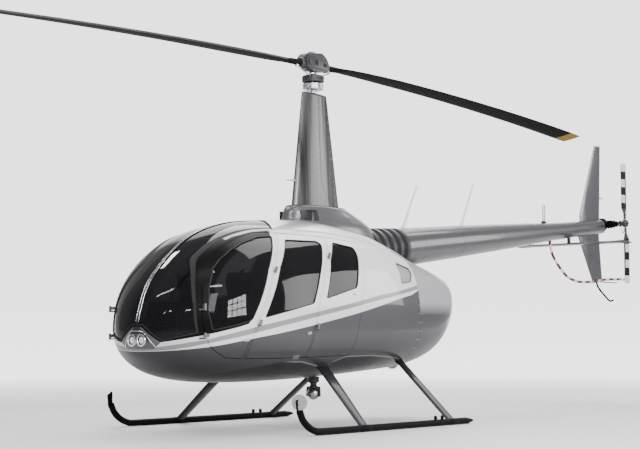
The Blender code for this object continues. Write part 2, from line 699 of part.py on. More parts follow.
boom_length = BOOM_PROFILE[-1][0]
outer = [(radius, distance) for distance, radius in BOOM_PROFILE]
boom = boom_solid("tail_boom", [(0.0, boom_length)] + outer[::-1] + [(0.0, 0.0)], "grey_paint")
boolean(boom, skin_clear)
boom_clear = boom_solid("boom_clear", [(0.0, boom_length + 0.1),
                                       (outer[-1][0] + SEAT_GAP, boom_length + 0.1)]
                        + [(radius + SEAT_GAP, distance) for radius, distance in outer[::-1]]
                        + [(0.0, outer[0][1])])

louvre = [(0.0, -SEAT_GAP)]
pitch = LOUVRE_LENGTH / LOUVRE_COUNT
for i in range(LOUVRE_COUNT):
    back = -SEAT_GAP - pitch * i
    share = i / LOUVRE_COUNT
    radius = LOUVRE_RADIUS[1] + (LOUVRE_RADIUS[0] - LOUVRE_RADIUS[1]) * share
    louvre += [(radius, back), (radius + 0.004, back - pitch * 0.40),
               (radius - LOUVRE_DEPTH, back - pitch * 0.48), (radius - LOUVRE_DEPTH, back - pitch * 0.95)]
louvre += [(LOUVRE_RADIUS[0], -LOUVRE_LENGTH - 0.03), (0.0, -LOUVRE_LENGTH - 0.03)]
louvre_cowl = boom_solid("louvre_cowl", louvre, "dark_metal")
boolean(louvre_cowl, skin_clear)
louvre_clear = boom_solid("louvre_clear", [(0.0, 0.1), (LOUVRE_RADIUS[1] + 0.006, 0.0),
                                           (LOUVRE_RADIUS[0] + 0.006, -LOUVRE_LENGTH - 0.0303),
                                           (0.0, -LOUVRE_LENGTH - 0.0303)])

# Aft cowl round the engine, with a saddle for the boom
aft_cowl = box("aft_cowl", (-1.0, COWL_SEAM_Y, 0.0), (1.0, 2.5, 2.5), "grey_paint")
boolean(aft_cowl, skin, "INTERSECT")
boolean(aft_cowl, hollow)

# Cowl and fairing of the mast
mast_cowl = rounded_bar("mast_base_cowl", MAST_COWL, "silver_paint", 24, 2.2)
boolean(mast_cowl, skin_clear)
boolean(mast_cowl, louvre_clear)
for side_name, side in SIDES.items():
    (y_low, y_high), (z_low, z_high) = INLET_BOX
    x_low, x_high = sorted((side * (0.245 - INLET_DEPTH), side * 0.4))
    inlet = box(f"inlet_{side_name}", (x_low, y_low, z_low), (x_high, y_high, z_high))
    boolean(mast_cowl, inlet)


def fairing_ring(section):
    z, front, rear, half = section
    return [(across, along, z) for along, across in aerofoil(front, rear, half, 20)]


fairing = place("mast_fairing", loft_mesh("mast_fairing", [fairing_ring(FAIRING_FOOT),
                                                           fairing_ring(FAIRING_HEAD)]),
                "silver_paint")

# Striped guard round the tail rotor's near side, seated on the boom
guard = tube("tail_guard", GUARD_PATH, GUARD_RADIUS, "striped_tube", 2, 2)
boolean(guard, boom_clear)
guard_clear = tube("guard_clear", GUARD_PATH, GUARD_RADIUS + SEAT_GAP, None, 2, 2)

# Fins and stabiliser
for fin_name, sections in (("upper_fin", UPPER_FIN), ("lower_fin", LOWER_FIN)):
    rings = [[(across, along, z) for along, across in aerofoil(front, rear, thick / 2)]
             for z, front, rear, thick in sections]
    fin = place(fin_name, loft_mesh(fin_name, rings), "grey_paint")
    boolean(fin, boom_clear)
    boolean(fin, guard_clear)

rings = [[(x, along, STABILISER_Z + across)
          for along, across in aerofoil(*STABILISER_Y, STABILISER_THICK / 2)]
         for x in (-STABILISER_SPAN, STABILISER_SPAN)]
stabiliser = place("stabiliser", loft_mesh("stabiliser", rings), "grey_paint")
bracket = box("stabiliser_bracket", (-BRACKET_HALF_WIDTH, BRACKET_Y[0], STABILISER_Z),
              (BRACKET_HALF_WIDTH, BRACKET_Y[1], STABILISER_Z + 0.2))
boolean(stabiliser, bracket, "UNION")
boolean(stabiliser, boom_clear)

# Tail gearbox on the end of the boom, its output tube to port
gearbox_centre = Vector((0.0, TAIL_ROTOR_Y, TAIL_ROTOR_Z))
case = turned("tail_gearbox", [(0.0, GEARBOX_RADIUS), (0.045, GEARBOX_RADIUS * 0.9),
                               (GEARBOX_RADIUS, 0.030), (GEARBOX_RADIUS, -0.030),
                               (0.045, -GEARBOX_RADIUS * 0.9), (0.0, -GEARBOX_RADIUS)], 20, "dark_metal")
case.matrix_world = Matrix.Translation(gearbox_centre) @ Matrix.Rotation(math.pi / 2, 4, "Y")
neck = boom_solid("gearbox_neck", [(0.0, boom_length + 0.075), (0.055, boom_length + 0.070),
                                   (0.088, boom_length + 0.030), (0.088, boom_length + SEAT_GAP),
                                   (0.0, boom_length + SEAT_GAP)])
output = tube("gearbox_output", [gearbox_centre, gearbox_centre + Vector((GEARBOX_NOSE, 0, 0))], 0.030,
              None, 4)
boolean(case, neck, "UNION")
boolean(case, output, "UNION")


tail_skid = tube("tail_skid", TAIL_SKID_PATH, TAIL_SKID_RADIUS, "dark_metal", 2)
boolean(tail_skid, guard_clear)


# Moving bodies: an empty on each axis carries its pieces
def axis_empty(name, spot, direction):
    empty = bpy.data.objects.new(name, None)
    empty.empty_display_size = 0.2
    parts.objects.link(empty)
    empty.location = spot
    empty.rotation_mode = "QUATERNION"
    empty.rotation_quaternion = Vector((0, 0, 1)).rotation_difference(Vector(direction))
    bpy.context.view_layer.update()
    return empty


def carry(empty, names):
    for name in names:
        piece = bpy.data.objects[name]
        placed = piece.matrix_world.copy()
        piece.parent = empty
        piece.matrix_parent_inverse = empty.matrix_world.inverted()
        piece.matrix_world = placed


# Main rotor
def blade_height(distance, direction):
    return HUB_Z + BLADE_CONE * distance - BLADE_DROOP * distance ** 2 + direction * TEETER * distance


def blade(name, direction):
    """One main blade, running aft for direction 1 and forward for -1."""
    rings = []
    for distance, chord, thick in ((BLADE_ROOT, 0.085, 0.075), (0.330, 0.100, 0.072),
                                   (0.430, 0.190, 0.042), (0.750, 0.235, BLADE_THICK),
                                   (1.200, BLADE_CHORD, BLADE_THICK), (2.400, BLADE_CHORD, BLADE_THICK),
                                   (3.600, BLADE_CHORD, BLADE_THICK), (4.600, BLADE_CHORD, BLADE_THICK),
                                   (ROTOR_RADIUS, BLADE_CHORD * 0.96, BLADE_THICK * 0.7)):
        front = -direction * chord * 0.32
        rear = direction * chord * 0.68
        z = blade_height(distance, direction)
        rings.append([(along, direction * distance, z + across)
                      for along, across in aerofoil(front, rear, thick / 2)])
    return place(name, loft_mesh(name, rings), "black_blade")


blade("main_blade_aft", 1)
blade("main_blade_forward", -1)
hub = plate("rotor_hub", round_corners(HUB_OUTLINE, 0.02, 2), "X", -HUB_HALF_WIDTH, HUB_HALF_WIDTH,
            "bare_metal")
shaft_top = 3.4145
mast_shaft = turned("mast_shaft", [(0.0, shaft_top), (SHAFT_RADIUS, shaft_top),
                                   (SHAFT_RADIUS, FAIRING_HEAD[0] + SEAT_GAP),
                                   (0.0, FAIRING_HEAD[0] + SEAT_GAP)], 24, "bare_metal")


def ring(name, sizes, bore, finish):
    low, high, radius = sizes
    lip = 0.008
    return turned(name, [(radius - lip, high), (radius, high - lip), (radius, low + lip),
                         (radius - lip, low), (bore, low), (bore, high)], 24, finish, closed=True)


turning_ring = ring("turning_swashplate", TURNING_RING, SHAFT_RADIUS + SEAT_GAP, "dark_metal")
for direction in (1, -1):
    foot = Vector((-direction * 0.030, direction * 0.092, TURNING_RING[1] - 0.012))
    head = Vector((-direction * 0.012, direction * 0.262, 3.438))
    link = tube(f"pitch_link_{direction}", [foot, head], 0.009)
    boolean(turning_ring, link, "UNION")
static_ring = ring("fixed_swashplate", STATIC_RING, RING_BORE, "bare_metal")
for turn in (90, 210, 330):
    spot = Vector((math.cos(math.radians(turn)), math.sin(math.radians(turn)), 0.0)) * 0.052
    rod = tube(f"servo_rod_{turn}", [spot + Vector((0, 0, FAIRING_HEAD[0] + SEAT_GAP)),
                                     spot + Vector((0, 0, STATIC_RING[0] + 0.01))], 0.010)
    boolean(static_ring, rod, "UNION")

rotor_axis = axis_empty("main_rotor_axis", (0.0, 0.0, HUB_Z), (0, 0, 1))
carry(rotor_axis, ["main_blade_aft", "main_blade_forward", "rotor_hub", "mast_shaft",
                   "turning_swashplate"])

# Tail rotor
hub_x = GEARBOX_NOSE + SEAT_GAP
tail_hub = turned("tail_rotor_hub", [(0.0, TAIL_ROTOR_X + 0.045), (0.022, TAIL_ROTOR_X + 0.045),
                                     (0.022, TAIL_ROTOR_X + 0.030), (0.048, TAIL_ROTOR_X + 0.022),
                                     (0.048, TAIL_ROTOR_X - 0.022), (0.022, TAIL_ROTOR_X - 0.030),
                                     (0.022, hub_x), (0.0, hub_x)], 20, "dark_metal")
tail_hub.matrix_world = (Matrix.Translation((0.0, TAIL_ROTOR_Y, TAIL_ROTOR_Z))
                         @ Matrix.Rotation(math.pi / 2, 4, "Y"))
hub_cut = turned("tail_hub_clear", [(0.0, 0.06), (0.0483, 0.06), (0.0483, -0.06), (0.0, -0.06)], 20)
hub_cut.matrix_world = (Matrix.Translation((TAIL_ROTOR_X, TAIL_ROTOR_Y, TAIL_ROTOR_Z))
                        @ Matrix.Rotation(math.pi / 2, 4, "Y"))


def tail_blade(name, direction):
    """One tail blade, up for direction 1 and down for -1; the lower one moves forwards."""
    rings = []
    for distance, chord, thick in ((0.030, 0.050, 0.034), (0.130, 0.055, 0.030),
                                   (0.190, TAIL_ROTOR_CHORD, 0.018),
                                   (TAIL_ROTOR_RADIUS, TAIL_ROTOR_CHORD, 0.013)):
        front = direction * chord * 0.30
        rear = -direction * chord * 0.70
        rings.append([(TAIL_ROTOR_X + across, TAIL_ROTOR_Y + along, TAIL_ROTOR_Z + direction * distance)
                      for along, across in aerofoil(front, rear, thick / 2)])
    return place(name, loft_mesh(name, rings), "white_paint")


for name, direction in (("tail_blade_upper", 1), ("tail_blade_lower", -1)):
    boolean(tail_blade(name, direction), hub_cut)
tail_axis = axis_empty("tail_rotor_axis", (TAIL_ROTOR_X, TAIL_ROTOR_Y, TAIL_ROTOR_Z), (1, 0, 0))
carry(tail_axis, ["tail_rotor_hub", "tail_blade_upper", "tail_blade_lower"])

# Each door and its glass turn about the line through its hinges
for door_name in HINGES:
    for side_name, side in SIDES.items():
        if f"{door_name}_{side_name}" not in bpy.data.objects:
            continue
        low, high = hinge_axis(door_name, side)
        hinge = axis_empty(f"{door_name}_{side_name}_hinge", low, high - low)
        carry(hinge, [f"{door_name}_{side_name}", f"{door_name}_glass_{side_name}"])


# Landing gear
def leg_ring(spot, along):
    """A streamlined ring square to the leg, its chord fore and aft."""
    side_way = along.cross(Vector((0, 1, 0))).normalized()
    chord_way = side_way.cross(along).normalized()
    return [spot + chord_way * (math.cos(math.tau * i / 16) * LEG_CHORD / 2)
            + side_way * (math.sin(math.tau * i / 16) * LEG_THICK / 2) for i in range(16)]


skid_clears = {}
for side_name, side in SIDES.items():
    path = [(side * TREAD, y, z) for y, z in SKID_PATH]
    skid = tube(f"skid_{side_name}", path, SKID_RADIUS, "dark_metal", 3)
    toe = plate(f"toe_plate_{side_name}", TOE_PLATE, "X", side * TREAD - 0.006, side * TREAD + 0.006)
    boolean(skid, toe, "UNION")
    shoe = box(f"skid_shoe_{side_name}", (side * TREAD - SHOE_HALF_WIDTH, SHOE_Y[0], 0.0),
               (side * TREAD + SHOE_HALF_WIDTH, SHOE_Y[1], SHOE_TOP))
    boolean(skid, shoe, "UNION")
    skid_clears[side_name] = tube(f"skid_clear_{side_name}", path, SKID_RADIUS + SEAT_GAP, None, 3)
    for leg_name, (foot_y, inward, aft, rise) in LEGS.items():
        foot = Vector((side * TREAD, foot_y, SKID_PATH[0][1]))
        way = Vector((-side * inward, aft, 1.0))
        top = foot + way * rise
        rings = [leg_ring(foot, way), leg_ring(foot + way * 0.3, way), leg_ring(top, way)]
        name = f"gear_leg_{leg_name}_{side_name}"
        leg = place(name, loft_mesh(name, rings), "grey_paint")
        boolean(leg, skin_clear)
        boolean(leg, skid_clears[side_name])

# Cargo hook under the belly
hook = turned("cargo_hook", [(0.0, 0.460), (0.055, 0.460), (0.055, 0.400), (0.030, 0.390),
                             (0.030, 0.350), (0.062, 0.335), (0.068, 0.270), (0.044, 0.231),
                             (0.0, 0.231)], 16, "dark_metal")
boolean(hook, skin_clear)

# Nose lights: a panel of the nose with two lamps set in it
boolean(housing, skin, "INTERSECT")
boolean(housing, hollow)
for side_name, side in SIDES.items():
    lamp = turned(f"landing_lamp_{side_name}", [(0.0, 0.0), (LAMP_RADIUS - 0.006, 0.0),
                                                (LAMP_RADIUS, -0.006), (LAMP_RADIUS, -LAMP_DEPTH),
                                                (0.0, -LAMP_DEPTH)], 24, "lamp_glass")
    lamp.matrix_world = (Matrix.Translation((side * LAMP_X, LAMP_FACE_Y, LAMP_Z))
                         @ Matrix.Rotation(math.pi / 2, 4, "X"))
    socket = turned(f"lamp_socket_{side_name}", [(0.0, 0.1), (LAMP_RADIUS + SEAT_GAP, 0.1),
                                                 (LAMP_RADIUS + SEAT_GAP, -LAMP_DEPTH - SEAT_GAP),
                                                 (0.0, -LAMP_DEPTH - SEAT_GAP)], 24)
    socket.matrix_world = lamp.matrix_world.copy()
    boolean(housing, socket)

# Aerials on the boom
for name, foot, tip in (("whip_aerial_front", (0.0, 1.483, 1.965), (0.0, 1.750, 2.442)),
                        ("whip_aerial_rear", (0.0, 2.588, 2.050), (0.0, 2.844, 2.545))):
    whip = tube(name, [foot, tip], 0.006, "white_paint")
    boolean(whip, boom_clear)

# Cabin fittings
deck = box("cabin_floor", *FLOOR_BOX, "cabin_trim")
bulkhead = box("aft_bulkhead", (-0.8, BULKHEAD_Y[0], 0.3), (0.8, BULKHEAD_Y[1], 2.2), "cabin_trim")
boolean(bulkhead, lining, "INTERSECT")
for side_name, side in SIDES.items():
    low, high = sorted((side * (SEAT_X - SEAT_HALF_WIDTH), side * (SEAT_X + SEAT_HALF_WIDTH)))
    plate(f"front_seat_{side_name}", round_corners(SEAT_SIDE, 0.03, 3), "X", low, high, "seat_leather")
    base = plate(f"seat_base_{side_name}", BASE_SIDE, "X", low, high)
    boolean(deck, base, "UNION")
plate("rear_seat", shifted(round_corners(SEAT_SIDE, 0.03, 3), REAR_SEAT_SHIFT), "X",
      -REAR_SEAT_HALF_WIDTH, REAR_SEAT_HALF_WIDTH, "seat_leather")
rear_base = plate("rear_seat_base", shifted(BASE_SIDE, REAR_SEAT_SHIFT), "X", -REAR_SEAT_HALF_WIDTH,
                  REAR_SEAT_HALF_WIDTH)
boolean(deck, rear_base, "UNION")
boolean(deck, lining, "INTERSECT")
plate("instrument_console", round_corners(CONSOLE_SIDE, 0.03, 3), "X", -CONSOLE_HALF_WIDTH,
      CONSOLE_HALF_WIDTH, "cabin_trim")
engine = box("engine_block", *ENGINE_BOX, "dark_metal")
gearcase = box("gearcase", *GEARCASE_BOX)
boolean(engine, gearcase, "UNION")

# Move the whole machine so that its box is centred fore and aft
MAST_Y = (ROTOR_RADIUS - GUARD_PATH[-1][1]) / 2
for thing in bpy.data.objects:
    if thing.parent is None:
        thing.matrix_world = Matrix.Translation((0.0, MAST_Y, 0.0)) @ thing.matrix_world
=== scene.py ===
import math

import bpy
import numpy as np
from mathutils import Matrix, Vector
from mathutils.bvhtree import BVHTree


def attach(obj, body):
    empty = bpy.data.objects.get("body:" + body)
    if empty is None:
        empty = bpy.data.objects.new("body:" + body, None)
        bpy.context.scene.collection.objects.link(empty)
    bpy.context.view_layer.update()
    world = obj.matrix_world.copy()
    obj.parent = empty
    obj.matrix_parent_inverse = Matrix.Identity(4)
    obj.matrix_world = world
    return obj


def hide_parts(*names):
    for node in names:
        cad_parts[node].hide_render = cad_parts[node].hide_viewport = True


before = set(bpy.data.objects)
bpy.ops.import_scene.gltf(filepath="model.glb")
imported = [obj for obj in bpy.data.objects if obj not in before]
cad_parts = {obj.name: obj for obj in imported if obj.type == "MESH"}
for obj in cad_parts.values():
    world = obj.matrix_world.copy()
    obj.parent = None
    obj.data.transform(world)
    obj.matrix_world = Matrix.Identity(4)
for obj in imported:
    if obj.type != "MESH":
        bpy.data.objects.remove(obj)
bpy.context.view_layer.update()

# shapes are worked out from the main rotor's axis, then moved along y by mastY into the shared frame
mastY = -0.725
sides = {"port": 1, "starboard": -1}

# camera
cameraSet = {"place": (8.828, -11.549, 0.777), "heading": 38.93, "tilt": 4.67, "roll": -0.09, "lens": 81.38}
cameraData = bpy.data.cameras.new("studioCamera")
cameraData.lens = cameraSet["lens"]
cameraData.sensor_width = 36.0
cameraData.clip_end = 300.0
camera = bpy.data.objects.new("studioCamera", cameraData)
bpy.context.scene.collection.objects.link(camera)
camera.matrix_world = (Matrix.Translation(cameraSet["place"])
                       @ Matrix.Rotation(math.radians(cameraSet["heading"]), 4, "Z")
                       @ Matrix.Rotation(math.radians(90 + cameraSet["tilt"]), 4, "X")
                       @ Matrix.Rotation(math.radians(cameraSet["roll"]), 4, "Z"))
bpy.context.scene.camera = camera
print("camera placed")


# shader helpers
class Sock:
    # a shader socket that adds Math nodes when it is used in an expression
    def __init__(self, finish, socket):
        self.finish, self.socket = finish, socket

    def __add__(self, other):
        return self.finish.maths("ADD", self, other)

    def __sub__(self, other):
        return self.finish.maths("SUBTRACT", self, other)

    def __rsub__(self, other):
        return self.finish.maths("SUBTRACT", other, self)

    def __mul__(self, other):
        return self.finish.maths("MULTIPLY", self, other)

    def __truediv__(self, other):
        return self.finish.maths("DIVIDE", self, other)

    __radd__ = __add__
    __rmul__ = __mul__


class Finish:
    # a material round one Principled shader
    def __init__(self, name, slot, **fixed):
        self.slot = slot
        self.material = bpy.data.materials.new(name)
        self.material.use_nodes = True
        self.tree = self.material.node_tree
        self.shader = self.tree.nodes["Principled BSDF"]
        for socket, value in fixed.items():
            self.shader.inputs[socket.replace("_", " ")].default_value = value

    def add(self, kind, settings=None, inputs=None, output=0):
        node = self.tree.nodes.new("ShaderNode" + kind)
        for key, value in (settings or {}).items():
            if key == "curve":
                points = node.mapping.curves[0].points
                while len(points) < len(value):
                    points.new(0.5, 0.5)
                for point, spot in zip(points, value):
                    point.location = spot
                    point.handle_type = "VECTOR"
                node.mapping.update()
            else:
                setattr(node, key, value)
        for key, value in (inputs or {}).items():
            self.join(value, node.inputs[key])
        if output is None:
            return [Sock(self, socket) for socket in node.outputs]
        return Sock(self, node.outputs[output])

    def join(self, value, socket):
        if isinstance(value, Sock):
            self.tree.links.new(value.socket, socket)
        else:
            socket.default_value = value

    def maths(self, operation, first, second=0.0, clamp=False):
        return self.add("Math", {"operation": operation, "use_clamp": clamp}, {0: first, 1: second})

    def clip(self, value):
        return self.maths("ADD", value, 0.0, True)

    def place(self):
        return self.add("TexCoord", output="Object")

    def parts(self, shift=(0.0, -mastY, 0.0)):
        # x, y and z from the mast's foot
        moved = self.add("VectorMath", {"operation": "ADD"}, {0: self.place(), 1: shift})
        return self.add("SeparateXYZ", None, {0: moved}, None)

    def inside(self):
        # 1 on the inner face of a wall, from the attribute that skinShade writes
        return self.add("Attribute", {"attribute_name": "inside"}, output=2)

    def noise(self, scale, detail=3.0, stretch=None):
        where = self.place()
        if stretch:
            where = self.add("Mapping", None, {"Vector": where, "Scale": stretch})
        return self.add("TexNoise", None, {"Vector": where, "Scale": scale, "Detail": detail})

    def blendColours(self, share, first, second):
        return self.add("Mix", {"data_type": "RGBA"}, {0: share, 6: self.solid(first), 7: self.solid(second)},
                        output=2)

    def solid(self, colour):
        return colour if isinstance(colour, Sock) or len(colour) == 4 else (*colour, 1.0)

    def bump(self, height, strength, distance=0.001):
        self.join(self.add("Bump", None, {"Strength": strength, "Distance": distance, "Height": height}),
                  self.shader.inputs["Normal"])

    def colour(self, value):
        self.join(self.solid(value), self.shader.inputs["Base Color"])

    def roughness(self, value):
        self.join(value, self.shader.inputs["Roughness"])


def softStep(finish, value, edge, width=0.002):
    return finish.clip((value - edge) / width + 0.5)


# paints and finishes: colours are linear, heights are those of the finished machine
paint = {"body": (0.066, 0.065, 0.071), "stripeAndSeamGlint": (0.240, 0.240, 0.250), "white": (0.700, 0.700, 0.705),
         "silver": (0.500, 0.500, 0.515), "cowl": (0.350, 0.350, 0.360), "black": (0.004, 0.004, 0.004),
         "lining": (0.018, 0.018, 0.019), "flake": 900.0, "peel": 60.0, "coat": 0.45, "coatFrom": 0.50,
         "coatOver": 0.50, "cowlFrom": 0.890, "cowlEdge": 1.10, "cowlSoft": 0.12}
# painted shade: the body paint darkens downwards, most of all below the belly line; a painted highlight along
# that line starts at lineFrom
belly = {"from": 0.46, "over": 0.42, "low": 0.30, "under": 0.16, "soft": 0.012, "lineFrom": -1.15,
         "lineFade": 0.16, "lineWidth": 0.009, "lineSoft": 0.004, "lineShare": 0.6}
# the stripes' edges on the side, as (y, z)
stripeLines = {
    "yRange": (-2.400, 2.100),
    "black": [(-2.400, 0.740), (-2.275, 0.787), (-2.167, 0.820), (-1.997, 0.869), (-1.845, 0.911),
              (-1.765, 0.935), (-1.735, 0.975), (-1.475, 1.410), (-1.215, 1.728), (-1.165, 1.790),
              (-1.150, 2.000), (2.100, 2.000)],
    "roofStrip": [(-2.400, 2.000), (-1.700, 2.000), (-1.690, 1.655), (-1.600, 1.692), (-1.380, 1.747),
                  (-1.160, 1.771), (-1.100, 1.771), (-1.000, 2.000), (2.100, 2.000)],
    "upperWhite": [(-2.400, 0.700), (-2.261, 0.752), (-2.159, 0.783), (-2.082, 0.799), (-1.994, 0.832),
                   (-1.842, 0.874), (-1.650, 0.921), (-1.403, 0.962), (-1.123, 1.008), (-0.820, 1.055),
                   (-0.519, 1.106), (-0.208, 1.160), (0.120, 1.220), (0.486, 1.272), (0.890, 1.340),
                   (2.100, 1.540)],
    "greyLow": [(-2.400, 0.690), (-2.223, 0.721), (-2.148, 0.745), (-2.074, 0.769), (-1.989, 0.793),
                (-1.839, 0.828), (-1.650, 0.871), (-1.404, 0.916), (-1.123, 0.962), (-0.820, 1.013),
                (-0.523, 1.062), (-0.212, 1.119), (0.117, 1.177), (0.479, 1.235), (0.890, 1.302),
                (2.100, 1.510)],
    # belly: the line below which the painted shade is deepest, with a painted highlight along it
    "belly": [(-2.400, 0.480), (-1.900, 0.500), (-1.600, 0.560), (-1.250, 0.608), (-0.950, 0.604),
              (-0.690, 0.568), (-0.500, 0.530), (-0.470, 0.600), (-0.320, 0.646), (0.090, 0.652),
              (0.570, 0.629), (1.000, 0.584), (1.200, 0.500), (2.100, 0.450)],
    "whiteLow": [(-2.400, 0.690), (-2.220, 0.714), (-2.141, 0.726), (-2.064, 0.740), (-1.978, 0.758),
                 (-1.831, 0.791), (-1.644, 0.825), (-1.400, 0.859), (-1.122, 0.900), (-0.822, 0.946),
                 (-0.522, 0.997), (-0.214, 1.053), (0.114, 1.120), (0.475, 1.199), (0.722, 1.240),
                 (0.890, 1.290), (2.100, 1.500)],
}


def stripeEdge(finish, name, y):
    low, high = stripeLines["yRange"]
    share = (y - low) / (high - low)
    curve = [((spot - low) / (high - low), z / 2) for spot, z in stripeLines[name]]
    return finish.add("FloatCurve", {"curve": curve}, {"Value": share}) * 2.0


def paintSurface(finish, colour, coat=0.35, metallic=0.25, shine=0.30):
    # flakes, a faint orange peel and light dust on a clear-coated paint
    flake = finish.noise(paint["flake"], 1.0)
    cloud = finish.noise(2.2, 4.0)
    value = 0.90 + (flake * 0.10) + (cloud * 0.10)
    tone = finish.add("HueSaturation", None, {"Value": value, "Color": colour})
    finish.colour(finish.blendColours(finish.inside(), tone, paint["lining"]))
    finish.roughness(0.25 + finish.noise(7.0, 5.0) * 0.12 + finish.inside() * 0.4)
    finish.bump(finish.noise(paint["peel"], 2.0), 0.05, 0.0006)
    finish.shader.inputs["Coat Weight"].default_value = coat
    finish.shader.inputs["Coat Roughness"].default_value = 0.05
    finish.shader.inputs["Metallic"].default_value = metallic
    finish.shader.inputs["Specular IOR Level"].default_value = shine


def makeBodyPaint():
    # stripes along the side, a black front, a silver strip over the door, painted shade on the belly with a
    # painted highlight along its line, and a painted reflection high on the aft cowl
    finish = Finish("bodyPaint", "grey_paint", IOR=1.22)
    x, y, z = finish.parts()
    # painted shade: darker copies of the body colour for the lower body and for below the belly line
    low, deepestShade = (tuple(c * belly[share] for c in paint["body"]) for share in ("low", "under"))
    line = stripeEdge(finish, "belly", y)
    body = finish.blendColours(finish.clip((z - belly["from"]) / belly["over"]), low, paint["body"])
    body = finish.blendColours(softStep(finish, z, line, belly["soft"]), deepestShade, body)
    # painted highlight: a light line along the belly line, fading in from lineFrom, in the grey stripe's
    # colour
    lineTop = softStep(finish, z, line + belly["lineWidth"], belly["lineSoft"])
    seamGlint = (softStep(finish, z, line, belly["lineSoft"]) - lineTop) * belly["lineShare"]
    body = finish.blendColours(seamGlint * softStep(finish, y, belly["lineFrom"], belly["lineFade"]), body,
                               paint["stripeAndSeamGlint"])
    # painted reflection: aft of cowlFrom the paint turns a lighter grey above this edge, standing for the
    # bright studio mirrored in it
    cowlEdge = paint["cowlEdge"] + finish.noise(1.5, 2.0) * 0.02
    cowl = finish.blendColours(softStep(finish, z, cowlEdge, paint["cowlSoft"]), body, paint["cowl"])
    for edge, colour in (("whiteLow", "white"), ("greyLow", "stripeAndSeamGlint"), ("upperWhite", "white"),
                         ("black", "black"), ("roofStrip", "silver")):
        share = softStep(finish, z, stripeEdge(finish, edge, y))
        if edge == "black":
            black = share
        body = finish.blendColours(share, body, paint[colour])
    body = finish.blendColours(softStep(finish, y, paint["cowlFrom"]), body, cowl)
    paintSurface(finish, body, metallic=0.0)
    coat = finish.clip((z - paint["coatFrom"]) / paint["coatOver"]) * (paint["coat"] - black * paint["coat"])
    finish.join(coat, finish.shader.inputs["Coat Weight"])
    return finish


def makePaint(name, slot, colour, **options):
    finish = Finish(name, slot)
    paintSurface(finish, finish.solid(colour), **options)
    return finish


def makeFairingPaint():
    # vertical light and dark streaks down the fairing: painted reflections
    finish = Finish("fairingPaint", "silver_paint")
    streakReflections = finish.noise(16.0, 4.0, stretch=(1.0, 1.0, 0.03))
    tone = finish.blendColours(finish.clip(streakReflections * 3.2 - 1.1), (0.018, 0.018, 0.019), (0.105, 0.105, 0.108))
    paintSurface(finish, tone, coat=0.35, metallic=0.40)
    return finish


def makeGlass(name, specular, alpha):
    finish = Finish(name, "glass", IOR=1.40, Alpha=alpha, Specular_IOR_Level=specular)
    wipe = finish.noise(3.0, 4.0, stretch=(1.0, 1.0, 3.0))
    finish.colour(finish.blendColours(wipe, (0.003, 0.003, 0.004), (0.008, 0.008, 0.009)))
    finish.roughness(0.01 + wipe * 0.03)
    return finish


def makeMetal(name, slot, colour, rough, metallic=1.0, grain=(1.0, 1.0, 12.0), wear=0.25):
    finish = Finish(name, slot, Metallic=metallic)
    brushed = finish.noise(70.0, 3.0, stretch=grain)
    cloud = finish.noise(9.0, 5.0)
    value = (1.0 - wear / 2) + cloud * wear
    finish.colour(finish.add("HueSaturation", None, {"Value": value, "Color": finish.solid(colour)}))
    finish.roughness(rough + brushed * 0.12 + cloud * 0.10)
    finish.bump(brushed, 0.08, 0.0005)
    return finish


def makeRubber(name, slot, colour=(0.008, 0.008, 0.009)):
    finish = Finish(name, slot, Specular_IOR_Level=0.25)
    dust = finish.noise(14.0, 5.0)
    finish.colour(finish.blendColours(dust, colour, tuple(c * 2.2 + 0.006 for c in colour)))
    finish.roughness(0.55 + dust * 0.25)
    finish.bump(finish.noise(260.0, 2.0), 0.20, 0.0006)
    return finish


def makeBladePaint():
    # black blade with a lighter worn leading strip and a yellow tip
    finish = Finish("bladePaint", "black_blade", IOR=1.10, Specular_IOR_Level=0.10)
    x, y, z = finish.parts()
    reach = finish.maths("ABSOLUTE", y)
    ahead = x * finish.maths("SIGN", y) * -1.0
    wear = finish.noise(24.0, 6.0, stretch=(1.0, 0.2, 1.0))
    strip = softStep(finish, ahead, 0.052, 0.004) * softStep(finish, reach, 0.44, 0.02)
    worn = finish.blendColours(wear, (0.060, 0.060, 0.064), (0.15, 0.15, 0.16))
    base = finish.blendColours(wear, (0.006, 0.006, 0.007), (0.016, 0.016, 0.017))
    base = finish.blendColours(strip, base, worn)
    base = finish.blendColours(softStep(finish, reach, 4.800, 0.004), base, (0.30, 0.175, 0.045))
    finish.colour(base)
    finish.roughness(0.46 + wear * 0.22)
    finish.bump(wear, 0.08, 0.0008)
    return finish


def makeGuardPaint():
    # dark red and white bands along the guard
    finish = Finish("guardBands", "striped_tube")
    x, y, z = finish.parts()
    band = finish.maths("PINGPONG", y - z * 0.55, 0.100) / 0.100
    share = softStep(finish, band, 0.58, 0.03)
    chips = finish.noise(90.0, 5.0)
    red = finish.blendColours(chips, (0.080, 0.006, 0.014), (0.13, 0.012, 0.022))
    white = finish.blendColours(chips, (0.66, 0.66, 0.66), (0.80, 0.80, 0.80))
    finish.colour(finish.blendColours(share, red, white))
    finish.roughness(0.32 + chips * 0.2)
    return finish


def makeTailBladePaint():
    # white tip, then dark and white squares, with a dark strip along the leading edge
    finish = Finish("tailBladePaint", "white_paint", IOR=1.15)
    x, y, z = finish.parts((0.0, -mastY - tailRotor["y"], -tailRotor["z"]))
    reach = finish.maths("ABSOLUTE", z)
    ahead = y * finish.maths("SIGN", z)
    square = finish.maths("GREATER_THAN", finish.maths("SINE", (reach - 0.662) * (math.pi / 0.100)), 0.0)
    leadingStrip = softStep(finish, ahead, 0.010, 0.003) * finish.maths("LESS_THAN", reach, 0.66)
    dirt = finish.noise(30.0, 5.0)
    white = finish.blendColours(dirt, (0.62, 0.62, 0.62), (0.80, 0.80, 0.80))
    base = finish.blendColours(square, (0.004, 0.004, 0.005), white)
    base = finish.blendColours(leadingStrip, base, (0.030, 0.030, 0.032))
    base = finish.blendColours(finish.maths("LESS_THAN", reach, 0.19), base, (0.05, 0.05, 0.054))
    finish.colour(base)
    finish.roughness(0.36 + dirt * 0.15)
    return finish


